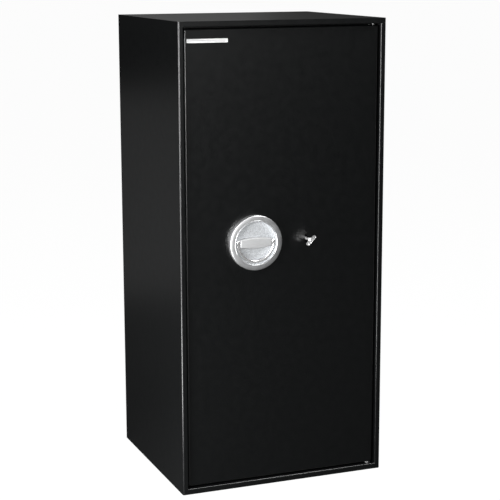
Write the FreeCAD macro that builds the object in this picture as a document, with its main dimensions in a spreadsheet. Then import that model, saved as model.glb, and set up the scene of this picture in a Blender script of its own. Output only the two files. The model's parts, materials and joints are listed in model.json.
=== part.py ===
import FreeCAD, Part
import math
import os
import Sketcher

# A short-gun safe: a double-walled steel cabinet with an inset door on concealed pivots, boltwork
# driven by a turning handle with a fold-out half ring, and a double-bit key lock.
# Frame: +X to the right seen from the front, +Y to the back, +Z up, origin in the middle of the
# base. At rest the door is shut, the bolts are drawn in and the key stands at 45 degrees.

doc = FreeCAD.newDocument("gun_safe")
Vector = FreeCAD.Vector

# ---------------------------------------------------------------- driving dimensions (mm)
SIZES = {
    # cabinet
    "safe_width": 466, "safe_height": 1000, "safe_depth": 415, "shell_sheet": 3, "shell_bend": 4,
    "border_width": 12, "border_lip_round": 2, "rim_round": 1, "seat_depth": 33, "seat_sheet": 3,
    "wall_build": 42, "liner_sheet": 1.5, "strike_thick": 6, "strike_width": 50, "seal_width": 10,
    "seal_gap": 0.3, "anchor_bore": 7, "anchor_wall": 2, "seal_lap": 2, "well_play": 0.8,
    "anchor_x": 120, "anchor_y": 100, "wall_anchor_z": 850,
    # door
    "door_gap": 3, "door_recess": 8, "door_depth": 22, "door_sheet": 3, "door_round": 4,
    "hard_plate_thick": 3, "hard_plate_reach": 125, "hard_plate_height": 125, "chassis_gap": 9,
    "chassis_depth": 48, "chassis_sheet": 2, "cover_sheet": 1.5, "fit_gap": 0.2,
    "cover_screw_x": 10, "cover_screw_z": 12,
    # hinge
    "hinge_inset": 8, "hinge_pin": 4, "hinge_bush": 7, "hinge_block_width": 17,
    "hinge_block_height": 45, "running_play": 0.05, "hinge_pin_reach": 8, "washer_play": 0.1,
    # boltwork
    "bolt_radius": 10, "bolt_axis": 27, "bolt_nose": 1, "bolt_round": 3, "bolt_stub": 3.5,
    "bolt_spacing": 280, "side_bolt_middle": 470, "dog_nose": 23, "dog_nut": 10, "dog_tail": 14,
    "pinion_radius": 14, "pinion_teeth": 16, "bar_width": 12, "bar_thick": 10, "bar_inset": 30,
    "rod_thick": 6, "layer_gap": 2, "rack_half_length": 13, "guide_wall": 8, "guide_length": 20,
    "guide_spacing": 170, "guide_ring_thick": 4, "guide_ring_wall": 5, "guide_back": 4,
    "bar_end": 40, "bolt_nut": 6, "bolt_nut_wall": 4, "bolt_stub_reach": 8, "rod_end_gap": 22,
    "slide_play": 0.1,
    # handle
    "handle_x": -65.4, "lock_z": 537, "ring_radius": 58.5, "ring_bore": 46.8, "ring_proud": 13,
    "ring_chamfer": 3, "dish_radius": 46.5, "dish_wall": 1.5, "dish_depth": 12, "dish_floor": 3.5,
    "band_length": 71, "band_end_height": 16, "band_bulge": 3.5, "band_round": 2.5,
    "band_sink": 0.5, "pull_outer": 43.5, "pull_inner": 37, "pull_thick": 5, "pull_axis": 4,
    "pull_arm": 8.25, "pull_eye": 6, "pull_pin": 2, "pull_pin_grip": 3, "spindle_radius": 8,
    "spindle_wall": 4, "spindle_tail": 6, "retainer_thick": 2, "stud_radius": 2, "stud_circle": 52,
    "stud_reach": 4, "rim_width": 1.6, "rim_rise": 0.8, "dish_lip_drop": 1, "dish_corner": 4,
    "eye_round": 3, "eye_drop": 3, "eye_gap": 0.5, "bow_edge_round": 1,
    # lock
    "key_x": 53.6, "key_shank": 3, "key_bow_width": 26.3, "key_bow_length": 14,
    "key_bow_thick": 2.6, "key_bow_round": 5, "key_bow_front": 34, "key_hole_width": 12,
    "key_hole_length": 6, "key_hole_edge": 3, "key_bow_overlap": 1, "key_bit_reach": 8,
    "key_bit_thick": 2.4, "key_bit_length": 10, "key_bush_radius": 10, "slot_play": 0.4,
    "lock_width": 92, "lock_height": 78, "lock_left": -12, "lock_below_key": 37, "lock_wall": 8,
    "lock_plate": 3, "lock_stand": 16, "lock_depth": 20, "lock_screw": 1.5, "lock_screw_inset": 4,
    "lock_stand_radius": 4, "lock_screw_reach": 8, "lock_head_radius": 3, "lock_head_thick": 2,
    "bit_play": 0.6, "tongue_width": 12, "tongue_above_key": 12, "tongue_room": 5,
    "tongue_length": 72, "lever_thick": 0.8, "lever_pitch": 0.9, "lever_end": 16, "lever_pin_x": 12,
    "lever_pin_drop": 4, "lever_pin": 2.5, "lever_start": 6, "lever_rise": 1, "lever_top": 2,
    "spring_start": 10, "spring_end": 6, "spring_thick": 0.5, "bit_gap": 1,
    # blank plate
    "plate_width": 89, "plate_height": 8.5, "plate_thick": 1, "plate_inset": 6, "plate_drop": 20.5,
    "plate_corner": 1,
    # fittings
    "rail_width": 20, "rail_thick": 3, "rail_front": 110, "rail_back": 60, "rail_slot_pitch": 40,
    "rail_end_gap": 30, "rail_slot_start": 16, "rail_slot_length": 14, "rail_slot_width": 4,
    "rail_screw_inset": 8, "rail_screw_thick": 1.2, "rail_mat_gap": 1, "shelf_low": 330,
    "shelf_high": 640, "shelf_sheet": 1.5, "shelf_lip": 22, "shelf_front": 95, "shelf_play": 3,
    "shelf_back_gap": 4, "mat_thick": 4, "mat_inset": 3, "screw_head": 4, "screw_head_thick": 1.6,
    "clip_size": 12,
}
sheet = doc.addObject("Spreadsheet::Sheet", "Sizes")
for row, (alias, value) in enumerate(SIZES.items(), start=1):
    sheet.set(f"A{row}", alias)
    sheet.set(f"B{row}", str(value))
    sheet.setAlias(f"B{row}", alias)
doc.recompute()


def size(alias):
    """A driving dimension as a number, for the few shapes that formulas draw."""
    return float(sheet.get(alias))


def S(text):
    """An expression: every $word stands for that cell of the sheet."""
    return "(" + text.replace("$", "Sizes.") + ")"


# ---------------------------------------------------------------- derived places, as expressions
HALF_W = S("$safe_width / 2")
TOP = S("$safe_height")
FRONT = S("-$safe_depth / 2")
BACK = S("$safe_depth / 2")
SHELL_IN = S("$safe_width / 2 - $shell_sheet")
MOUTH = S("$safe_width / 2 - $border_width")
RETURN_OUT = f"({MOUTH} + Sizes.shell_sheet)"
LINER_IN = S("$safe_width / 2 - $wall_build")
LINER_OUT = f"({LINER_IN} + Sizes.liner_sheet)"
SEAT_FRONT = S("-$safe_depth / 2 + $seat_depth")
SEAT_BACK = f"({SEAT_FRONT} + Sizes.seat_sheet)"
SHELL_END = S("$safe_depth / 2 - $shell_sheet")
LINER_BACK = S("$safe_depth / 2 - $wall_build")
ROOM_LOW = S("$wall_build")
ROOM_HIGH = S("$safe_height - $wall_build")

DOOR_HALF = f"({MOUTH} - Sizes.door_gap)"
DOOR_LOW = S("$border_width + $door_gap")
DOOR_HIGH = S("$safe_height - $border_width - $door_gap")
DOOR_FACE = S("-$safe_depth / 2 + $door_recess")
DOOR_REAR = f"({DOOR_FACE} + Sizes.door_depth)"
PAN_IN = f"({DOOR_HALF} - Sizes.door_sheet)"
PAN_BACK = f"({DOOR_FACE} + Sizes.door_sheet)"
HARD_BACK = f"({PAN_BACK} + Sizes.hard_plate_thick)"
DOOR_PLATE = f"({DOOR_REAR} - Sizes.door_sheet)"
PIVOT_X = f"({DOOR_HALF} - Sizes.hinge_inset)"
PIVOT_Y = f"({DOOR_FACE} + Sizes.hinge_inset)"
BLOCK_X = f"({PAN_IN} - Sizes.hinge_block_width)"

BOX_HALF = f"({LINER_IN} - Sizes.chassis_gap)"
BOX_LOW = f"({ROOM_LOW} + Sizes.chassis_gap)"
BOX_HIGH = f"({ROOM_HIGH} - Sizes.chassis_gap)"
BOX_REAR = f"({DOOR_REAR} + Sizes.chassis_depth)"
COVER_FRONT = f"({BOX_REAR} - Sizes.cover_sheet)"
BOX_IN = f"({BOX_HALF} - Sizes.chassis_sheet)"

BOLT_Y = f"({DOOR_REAR} + Sizes.bolt_axis)"
THROW = S("$pinion_radius * 1.5708")
BAR_LEFT = f"(-{BOX_HALF} + Sizes.bar_inset)"
BAR_RIGHT = f"({BAR_LEFT} + Sizes.bar_width)"
ROD_FRONT = f"({BOLT_Y} - Sizes.rod_thick / 2)"
ROD_REAR = f"({BOLT_Y} + Sizes.rod_thick / 2)"
RACK_REAR = f"({ROD_FRONT} - Sizes.layer_gap)"
RACK_FRONT = f"({RACK_REAR} - Sizes.rod_thick)"
RING_FRONT = f"({DOOR_FACE} - Sizes.ring_proud)"
DISH_TOP = f"({RING_FRONT} + Sizes.dish_lip_drop)"
DISH_SEAT = f"({RING_FRONT} + Sizes.dish_depth)"
DISH_BACK = f"({DISH_SEAT} + Sizes.dish_floor)"
PULL_Y = f"({RING_FRONT} + Sizes.pull_axis)"

LOCK_FRONT = f"({DOOR_REAR} + Sizes.lock_stand)"
LOCK_REAR = f"({LOCK_FRONT} + Sizes.lock_depth)"
LOCK_LOW = S("$lock_z - $lock_below_key")
LOCK_HIGH = f"({LOCK_LOW} + Sizes.lock_height)"
LOCK_RIGHT = S("$lock_left + $lock_width")
LOCK_IN_FRONT = f"({LOCK_FRONT} + Sizes.lock_plate)"
LOCK_COVER = f"({LOCK_REAR} - Sizes.lock_plate)"
TONGUE_Z = (S("$lock_z + $tongue_above_key"), S("$lock_z + $tongue_above_key + $tongue_width"))

sub_parts = []


def keep(piece, label):
    """Names a finished sub-part, which part.py writes to its own file."""
    piece.Label = label
    sub_parts.append(piece)
    return piece


# ---------------------------------------------------------------- Part primitives and booleans
def box(name, x, y, z):
    """A block between two places along each axis, all given as expressions."""
    piece = doc.addObject("Part::Box", name)
    for side, (low, high) in (("Length", x), ("Width", y), ("Height", z)):
        piece.setExpression(side, f"({high}) - ({low})")
    for axis, (low, _) in zip("xyz", (x, y, z)):
        piece.setExpression("Placement.Base." + axis, low)
    return piece


TURNS = {
    "x": FreeCAD.Rotation(Vector(0, 1, 0), 90),
    "y": FreeCAD.Rotation(Vector(1, 0, 0), -90),
    "z": FreeCAD.Rotation(),
}


def round_bar(name, axis, centre, radius, low, high):
    """A cylinder along one axis; centre gives its places on the other two axes."""
    piece = doc.addObject("Part::Cylinder", name)
    piece.Placement = FreeCAD.Placement(Vector(), TURNS[axis])
    piece.setExpression("Radius", radius)
    piece.setExpression("Height", f"({high}) - ({low})")
    places = dict(zip([a for a in "xyz" if a != axis], centre))
    places[axis] = low
    for name_of_axis, place in places.items():
        piece.setExpression("Placement.Base." + name_of_axis, place)
    return piece


def join(name, pieces):
    """One solid from overlapping or touching pieces."""
    piece = doc.addObject("Part::MultiFuse", name)
    piece.Shapes = pieces
    piece.Refine = True
    return piece


def cut(name, base, tools):
    """The base with each tool taken away."""
    for number, tool in enumerate(tools):
        piece = doc.addObject("Part::Cut", f"{name}_{number}")
        piece.Base = base
        piece.Tool = tool
        base = piece
    return base


def group(name, pieces):
    """Separate identical solids that share one node."""
    piece = doc.addObject("Part::Compound", name)
    piece.Links = pieces
    return piece


# ---------------------------------------------------------------- PartDesign helpers
def new_body(label):
    return keep(doc.addObject("PartDesign::Body", label), label)


def sketch_on(body, name, plane, offset="0"):
    """A sketch on one of the body's own origin planes, moved along the plane's normal."""
    sketch = body.newObject("Sketcher::SketchObject", name)
    face = next(f for f in body.Origin.OriginFeatures if f.Role == plane)
    sketch.AttachmentSupport = [(face, "")]
    sketch.MapMode = "FlatFace"
    sketch.setExpression("AttachmentOffset.Base.z", offset)
    return sketch


def drive(sketch, kind, name, expression, *where):
    """A driving constraint, held to an expression."""
    number = sketch.addConstraint(Sketcher.Constraint(kind, *where, 1.0))
    sketch.renameConstraint(number, name)
    sketch.setExpression("Constraints." + name, expression)


def outline(sketch, key, points):
    """A closed outline of straight lines through points given as pairs of expressions."""
    first = sketch.GeometryCount
    count = len(points)
    ring = [Vector(math.cos(i), math.sin(i), 0) for i in
            (2 * math.pi * n / count for n in range(count))]
    for number in range(count):
        sketch.addGeometry(Part.LineSegment(ring[number], ring[(number + 1) % count]), False)
    for number in range(count):
        following = first + (number + 1) % count
        sketch.addConstraint(Sketcher.Constraint("Coincident", first + number, 2, following, 1))
    for number, (across, up) in enumerate(points):
        drive(sketch, "DistanceX", f"{key}_x{number}", across, -1, 1, first + number, 1)
        drive(sketch, "DistanceY", f"{key}_y{number}", up, -1, 1, first + number, 1)


def rectangle(sketch, key, across, up):
    outline(sketch, key, [(across[0], up[0]), (across[1], up[0]),
                          (across[1], up[1]), (across[0], up[1])])


def circle(sketch, key, across, up, radius):
    number = sketch.addGeometry(Part.Circle(Vector(1, 1, 0), Vector(0, 0, 1), 1), False)
    drive(sketch, "DistanceX", key + "_x", across, -1, 1, number, 3)
    drive(sketch, "DistanceY", key + "_y", up, -1, 1, number, 3)
    drive(sketch, "Radius", key + "_r", radius, number)


def feature(body, kind, name, sketch, length, reverse):
    piece = body.newObject("PartDesign::" + kind, name)
    piece.Profile = sketch
    piece.Reversed = reverse
    piece.setExpression("Length", length)
    return piece


def pad(body, name, sketch, length, reverse=False):
    return feature(body, "Pad", name, sketch, length, reverse)


def pocket(body, name, sketch, length, reverse=False):
    """A cut of a stated depth, which has to take material away."""
    doc.recompute()
    before = body.Tip.Shape.Volume
    piece = feature(body, "Pocket", name, sketch, length, reverse)
    doc.recompute()
    if piece.Shape.Volume >= before:
        raise ValueError(name + " cuts nothing")
    return piece


def turned(body, name, sketch, line="H_Axis"):
    piece = body.newObject("PartDesign::Revolution", name)
    piece.Profile = sketch
    piece.ReferenceAxis = (sketch, [line])
    piece.Angle = 360
    return piece


def round_edges(body, name, radius, wanted, kind="Fillet"):
    """Rounds or chamfers the edges of the body so far that pass the test."""
    doc.recompute()
    base = body.Tip
    names = [f"Edge{n}" for n, edge in enumerate(base.Shape.Edges, start=1) if wanted(edge)]
    piece = body.newObject("PartDesign::" + kind, name)
    piece.Base = (base, names)
    piece.setExpression("Radius" if kind == "Fillet" else "Size", radius)
    return piece


def value(expression):
    """The number that an expression stands for at the present sizes."""
    return float(sheet.evalExpression(expression))


def along(edge, axis):
    """True for a straight edge that runs along the named axis."""
    if edge.Curve.TypeId != "Part::GeomLine":
        return False
    return abs(abs(getattr(edge.Curve.Direction, axis)) - 1) < 1e-6


def between(edge, axis, low, high):
    """True when the whole edge lies between two places along the named axis."""
    extent = edge.BoundBox
    edge_low, edge_high = getattr(extent, axis.upper() + "Min"), getattr(extent, axis.upper() + "Max")
    return edge_low > low - 1e-3 and edge_high < high + 1e-3


def at(edge, axis, place):
    """True when the whole edge lies at one place along the named axis."""
    return between(edge, axis, place, place)


# ---------------------------------------------------------------- cabinet
FLOOR_ANCHORS = [(x, y) for x in ("-Sizes.anchor_x", "Sizes.anchor_x")
                 for y in ("-Sizes.anchor_y", "Sizes.anchor_y")]
WALL_ANCHORS = [(x, "Sizes.wall_anchor_z") for x in ("-Sizes.anchor_x", "Sizes.anchor_x")]
SLEEVE_R = S("$anchor_bore + $anchor_wall")
SHELL_Z = (S("$shell_sheet"), S("$safe_height - $shell_sheet"))
RETURN_Z = (S("$border_width - $shell_sheet"), S("$safe_height - $border_width + $shell_sheet"))
MOUTH_Z = (S("$border_width"), S("$safe_height - $border_width"))
LINER_Z = (S("$wall_build - $liner_sheet"), S("$safe_height - $wall_build + $liner_sheet"))


def outer_shell():
    """Four sides with a front border and a return that runs inwards.

    The upright front edges are folded round; all the other outer edges are welded and ground sharp.
    """
    body = new_body("outer_shell")
    block = sketch_on(body, "shell_outline", "XZ_Plane", "-" + FRONT)
    rectangle(block, "outside", ("-" + HALF_W, HALF_W), ("0", TOP))
    pad(body, "shell_block", block, S("$safe_depth - $shell_sheet"), True)
    front = value(FRONT)
    round_edges(body, "front_bends", S("$shell_bend"),
                lambda edge: at(edge, "y", front) and along(edge, "z"))
    doc.recompute()
    mouth = sketch_on(body, "mouth_outline", "XZ_Plane", "-" + FRONT)
    rectangle(mouth, "mouth", ("-" + MOUTH, MOUTH), MOUTH_Z)
    pocket(body, "mouth_way", mouth, S("$safe_depth"))
    mouth_half, mouth_low, mouth_high = value(MOUTH), value(MOUTH_Z[0]), value(MOUTH_Z[1])
    round_edges(body, "lip_round", S("$border_lip_round"), lambda edge: at(edge, "y", front)
                and between(edge, "x", -mouth_half, mouth_half)
                and between(edge, "z", mouth_low, mouth_high))
    doc.recompute()
    behind_border = sketch_on(body, "behind_border", "XZ_Plane", f"-{FRONT} - Sizes.shell_sheet")
    rectangle(behind_border, "sheet", ("-" + SHELL_IN, SHELL_IN), SHELL_Z)
    rectangle(behind_border, "return", ("-" + RETURN_OUT, RETURN_OUT), RETURN_Z)
    pocket(body, "border_hollow", behind_border, TOP)
    behind_seat = sketch_on(body, "behind_seat", "XZ_Plane", "-" + SEAT_FRONT)
    rectangle(behind_seat, "cavity", ("-" + SHELL_IN, SHELL_IN), SHELL_Z)
    pocket(body, "cavity_hollow", behind_seat, TOP)
    holes = sketch_on(body, "floor_holes", "XY_Plane")
    for number, (across, back) in enumerate(FLOOR_ANCHORS):
        circle(holes, f"anchor{number}", across, back, SLEEVE_R)
    pocket(body, "floor_anchor_holes", holes, S("$shell_sheet"), True)
    bushes = sketch_on(body, "bush_holes", "XY_Plane", RETURN_Z[0])
    circle(bushes, "bush", PIVOT_X, PIVOT_Y, "Sizes.hinge_bush")
    pocket(body, "bush_ways", bushes, f"{RETURN_Z[1]} - {RETURN_Z[0]}", True)


def back_panel():
    """The sheet that closes the shell at the back, with holes for the wall anchors."""
    body = new_body("back_panel")
    panel = sketch_on(body, "panel", "XZ_Plane", "-" + SHELL_END)
    rectangle(panel, "outside", ("-" + HALF_W, HALF_W), ("0", TOP))
    pad(body, "panel_sheet", panel, S("$shell_sheet"), True)
    back = value(BACK)
    round_edges(body, "panel_rim", "Sizes.rim_round", lambda edge: at(edge, "y", back))
    doc.recompute()
    holes = sketch_on(body, "wall_holes", "XZ_Plane", "-" + SHELL_END)
    for number, (across, up) in enumerate(WALL_ANCHORS):
        circle(holes, f"anchor{number}", across, up, SLEEVE_R)
    pocket(body, "wall_anchor_holes", holes, S("$shell_sheet"))


def tube_ring(label, across, up, wall, front, length):
    """A rectangular ring standing in the XZ plane, such as a frame or a strip seal."""
    body = new_body(label)
    section = sketch_on(body, label + "_section", "XZ_Plane", "-" + front)
    rectangle(section, "outside", across, up)
    rectangle(section, "inside", (f"{across[0]} + {wall}", f"{across[1]} - {wall}"),
              (f"{up[0]} + {wall}", f"{up[1]} - {wall}"))
    pad(body, label + "_pad", section, length, True)
    return body


def seat_frame():
    """The flange behind the door, which closes the gap between shell return and liner."""
    reach = S("$wall_build - $border_width + $shell_sheet")
    tube_ring("door_seat_frame", ("-" + RETURN_OUT, RETURN_OUT), RETURN_Z, reach, SEAT_FRONT,
              "Sizes.seat_sheet")


def door_seal():
    """The strip on the flange that the shut door all but touches, and that swells in a fire."""
    rim = S("$safe_width / 2 - $wall_build + $seal_lap + $seal_width")
    low = S("$wall_build - $seal_lap - $seal_width")
    tube_ring("door_fire_seal", ("-" + rim, rim), (low, f"({TOP} - {low})"), "Sizes.seal_width",
              f"({DOOR_REAR} + Sizes.seal_gap)", f"{SEAT_FRONT} - {DOOR_REAR} - Sizes.seal_gap")


SIDE_BOLTS = [S(f"$side_bolt_middle + {n} * $bolt_spacing") for n in (-1, 0, 1)]
ADDENDUM = 0.9
DEDENDUM = 1.25
RACK_ROOT = S(f"2 * {DEDENDUM} * $pinion_radius / $pinion_teeth")
TOP_ROD_X = f"(Sizes.handle_x + Sizes.pinion_radius + {RACK_ROOT} + Sizes.bar_width / 2)"
LOW_ROD_X = f"(Sizes.handle_x - Sizes.pinion_radius - {RACK_ROOT} - Sizes.bar_width / 2)"
WELL_R = S("$bolt_radius + $well_play")


def bolt_wells(name):
    """The round ways that bolts and dogs run into, through liner, strike bars and insulation."""
    deep = f"({LINER_OUT} + Sizes.bolt_nose + {THROW})"
    wells = []
    for number, up in enumerate(SIDE_BOLTS):
        wells.append(round_bar(f"{name}_left{number}", "x", (BOLT_Y, up), WELL_R,
                               "-" + deep, "-" + LINER_IN))
    for number, (across, up) in enumerate((
            (TOP_ROD_X, (ROOM_HIGH, f"({ROOM_HIGH} + 1.5 * {THROW})")),
            (LOW_ROD_X, (f"({ROOM_LOW} - 1.5 * {THROW})", ROOM_LOW)))):
        wells.append(round_bar(f"{name}_end{number}", "z", (across, BOLT_Y), WELL_R, *up))
    for number, up in enumerate(SIDE_BOLTS):
        slot = (SEAT_BACK, f"({BOLT_Y} + {WELL_R})")
        wells.append(box(f"{name}_dog{number}", (LINER_IN, f"({LINER_IN} + Sizes.dog_nose)"), slot,
                         (f"{up} - {WELL_R}", f"{up} + {WELL_R}")))
    return wells


def anchor_wells(name, radius):
    """Round ways for the anchors, through the floor and the back wall."""
    wells = [round_bar(f"{name}_floor{n}", "z", place, radius, "0", ROOM_LOW)
             for n, place in enumerate(FLOOR_ANCHORS)]
    wells += [round_bar(f"{name}_wall{n}", "y", place, radius, LINER_BACK, BACK)
              for n, place in enumerate(WALL_ANCHORS)]
    return wells


def inner_liner():
    """The white inner box, open to the front, with wells for bolts, dogs and anchors."""
    outside = box("liner_outside", ("-" + LINER_OUT, LINER_OUT),
                  (SEAT_BACK, f"({LINER_BACK} + Sizes.liner_sheet)"), LINER_Z)
    inside = box("liner_inside", ("-" + LINER_IN, LINER_IN), (FRONT, LINER_BACK), (ROOM_LOW, ROOM_HIGH))
    tools = [inside] + bolt_wells("liner") + anchor_wells("liner", SLEEVE_R)
    keep(cut("liner", outside, tools), "inner_liner")


def insulation():
    """Fire-resisting slabs that fill the walls behind the seat frame."""
    low, high = LINER_Z
    behind = f"({LINER_BACK} + Sizes.liner_sheet)"
    depth = (SEAT_BACK, SHELL_END)
    liner_x = ("-" + LINER_OUT, LINER_OUT)
    slabs = {
        "insulation_left": (("-" + SHELL_IN, "-" + LINER_OUT), depth, SHELL_Z),
        "insulation_right": ((LINER_OUT, SHELL_IN), depth, SHELL_Z),
        "insulation_top": (liner_x, depth, (high, SHELL_Z[1])),
        "insulation_bottom": (liner_x, depth, (SHELL_Z[0], low)),
        "insulation_back": (liner_x, (behind, SHELL_END), LINER_Z),
    }
    cut_slabs = []
    for label, (x, y, z) in slabs.items():
        tools = bolt_wells(label) + strike_blocks(label) + anchor_wells(label, SLEEVE_R)
        slab = box(label + "_slab", x, y, z)
        cut_slabs.append(cut(label, slab, reaching(slab, tools)))
    keep(group("side_slabs", cut_slabs[:4]), "insulation_sides")
    keep(cut_slabs[4], "insulation_back")


def reaching(block, tools):
    """The tools that take something away from the block."""
    doc.recompute()
    return [tool for tool in tools if block.Shape.common(tool.Shape).Volume > 1]


def strike_blocks(name):
    """Solid bars behind the liner that hold the thrown bolts, before they are drilled."""
    y = (SEAT_BACK, f"({SEAT_BACK} + Sizes.strike_width)")
    side = (f"{SIDE_BOLTS[0]} - Sizes.strike_width", f"{SIDE_BOLTS[2]} + Sizes.strike_width")
    low, high = LINER_Z
    bars = [box(name + "_strike_side", (f"-{LINER_OUT} - Sizes.strike_thick", "-" + LINER_OUT), y, side)]
    for end, rod, z in (("top", TOP_ROD_X, (high, f"({high} + Sizes.strike_thick)")),
                        ("low", LOW_ROD_X, (f"({low} - Sizes.strike_thick)", low))):
        x = (f"{rod} - Sizes.strike_width", f"{rod} + Sizes.strike_width")
        bars.append(box(f"{name}_strike_{end}", x, y, z))
    return bars


def strikes():
    """The drilled strike bars."""
    bars = []
    for number, block in enumerate(strike_blocks("steel")):
        wells = bolt_wells(f"strike{number}")
        bars.append(cut(f"strike_bar{number}", block, reaching(block, wells)))
    keep(group("strike_group", bars), "bolt_strike_bars")


def sleeves():
    """Steel sleeves through floor and back wall, which keep the anchor bolts out of the filling."""
    outsides = anchor_wells("sleeve_out", SLEEVE_R)
    bores = anchor_wells("sleeve_bore", "Sizes.anchor_bore")
    tubes = [cut(f"sleeve{n}", outside, [bore]) for n, (outside, bore) in enumerate(zip(outsides, bores))]
    keep(group("sleeve_group", tubes), "anchor_sleeves")


def hinge_bearings():
    """Bushes in the frame above and below the door, and the washer that the door turns on."""
    clearance = S("$hinge_pin + $running_play")
    spans = ((S("$shell_sheet"), S("$border_width")),
             (S("$safe_height - $border_width"), S("$safe_height - $shell_sheet")))
    bushes = []
    for number, (low, high) in enumerate(spans):
        outside = round_bar(f"bush_out{number}", "z", (PIVOT_X, PIVOT_Y), "Sizes.hinge_bush", low, high)
        bore = round_bar(f"bush_bore{number}", "z", (PIVOT_X, PIVOT_Y), clearance, low, high)
        bushes.append(cut(f"bush{number}", outside, [bore]))
    keep(group("bush_group", bushes), "hinge_bushes")
    disc = round_bar("washer_disc", "z", (PIVOT_X, PIVOT_Y), "Sizes.hinge_bush",
                     S("$border_width"), f"({DOOR_LOW} - Sizes.washer_play)")
    bore = round_bar("washer_bore", "z", (PIVOT_X, PIVOT_Y), clearance, S("$border_width"), DOOR_LOW)
    keep(cut("washer", disc, [bore]), "hinge_thrust_washer")


RAIL_X = (f"({LINER_IN} - Sizes.rail_thick)", LINER_IN)
RAIL_ROWS = (S("-$safe_depth / 2 + $rail_front"), S("$safe_depth / 2 - $wall_build - $rail_back"))
RAIL_Z = (f"({ROOM_LOW} + Sizes.rail_end_gap)", f"({ROOM_HIGH} - Sizes.rail_end_gap)")


def sides(expressions):
    """The same two places on the left wall, mirrored."""
    return tuple("-" + place for place in reversed(expressions))


def around(middle, width):
    """Two places, half a width to either side of a middle."""
    return (f"({middle} - {width} / 2)", f"({middle} + {width} / 2)")


def slotted_rail(name, x, middle):
    """One strip with a slot at every pitch."""
    strip = box(name, x, around(middle, "Sizes.rail_width"), RAIL_Z)
    count = int((value(RAIL_Z[1]) - value(RAIL_Z[0])) // size("rail_slot_pitch"))
    slots = []
    for number in range(count):
        low = f"{RAIL_Z[0]} + Sizes.rail_slot_start + {number} * Sizes.rail_slot_pitch"
        slots.append(box(f"{name}_slot{number}", x, around(middle, "Sizes.rail_slot_width"),
                         (low, f"{low} + Sizes.rail_slot_length")))
    return cut(name + "_cut", strip, [group(name + "_slots", slots)])


def shelf_rails():
    """Four slotted strips on the side walls, with their screws."""
    rails, screws = [], []
    screw_heights = (f"{RAIL_Z[0]} + Sizes.rail_screw_inset", f"{RAIL_Z[1]} - Sizes.rail_screw_inset")
    for hand, x in (("left", sides(RAIL_X)), ("right", RAIL_X)):
        inner = x[1] if hand == "left" else f"{x[0]} - Sizes.rail_screw_thick"
        for row, middle in enumerate(RAIL_ROWS):
            name = f"rail_{hand}{row}"
            rails.append(slotted_rail(name, x, middle))
            for number, up in enumerate(screw_heights):
                screws.append(round_bar(f"{name}_screw{number}", "x", (middle, up), "Sizes.screw_head",
                                        inner, f"{inner} + Sizes.rail_screw_thick"))
    keep(group("rail_group", rails), "shelf_rails")
    keep(group("rail_screw_group", screws), "shelf_rail_screws")


SHELVES = {"lower": "Sizes.shelf_low", "upper": "Sizes.shelf_high"}
SHELF_X = f"({LINER_IN} - Sizes.rail_thick - Sizes.shelf_play)"
SHELF_Y = (S("-$safe_depth / 2 + $shelf_front"), f"({LINER_BACK} - Sizes.shelf_back_gap)")


def shelf(which, up):
    """A folded tray with turned-down edges all round; returns the mat that lies on it."""
    tray = box(which + "_tray", ("-" + SHELF_X, SHELF_X), SHELF_Y, (f"({up} - Sizes.shelf_lip)", up))
    under = box(which + "_under", (f"-{SHELF_X} + Sizes.shelf_sheet", f"{SHELF_X} - Sizes.shelf_sheet"),
                (f"{SHELF_Y[0]} + Sizes.shelf_sheet", f"{SHELF_Y[1]} - Sizes.shelf_sheet"),
                (f"({up} - Sizes.shelf_lip)", f"({up} - Sizes.shelf_sheet)"))
    keep(cut(which + "_shelf_cut", tray, [under]), which + "_shelf")
    return box(which + "_mat_slab", (f"-{SHELF_X} + Sizes.mat_inset", f"{SHELF_X} - Sizes.mat_inset"),
               (f"{SHELF_Y[0]} + Sizes.mat_inset", f"{SHELF_Y[1]} - Sizes.mat_inset"),
               (up, f"({up} + Sizes.mat_thick)"))


def shelf_fittings():
    """Shelves with their mats and clips, and the mat on the floor."""
    clips, mats = [], []
    clip_x = (f"({SHELF_X} - Sizes.clip_size)", RAIL_X[0])
    for which, up in SHELVES.items():
        mats.append(shelf(which, up))
        lip = f"({up} - Sizes.shelf_lip)"
        for hand, x in (("left", sides(clip_x)), ("right", clip_x)):
            for row, middle in enumerate(RAIL_ROWS):
                clips.append(box(f"clip_{which}_{hand}{row}", x, around(middle, "Sizes.clip_size"),
                                 (f"{lip} - Sizes.shelf_sheet", lip)))
    keep(group("clip_group", clips), "shelf_clips")
    keep(group("mat_group", mats), "shelf_mats")
    mat_half = f"({RAIL_X[0]} - Sizes.rail_mat_gap)"
    mat_y = (SHELF_Y[0], f"({LINER_BACK} - Sizes.rail_mat_gap)")
    mat_z = (ROOM_LOW, f"({ROOM_LOW} + Sizes.mat_thick)")
    keep(box("floor_mat_slab", ("-" + mat_half, mat_half), mat_y, mat_z), "floor_mat")


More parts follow.
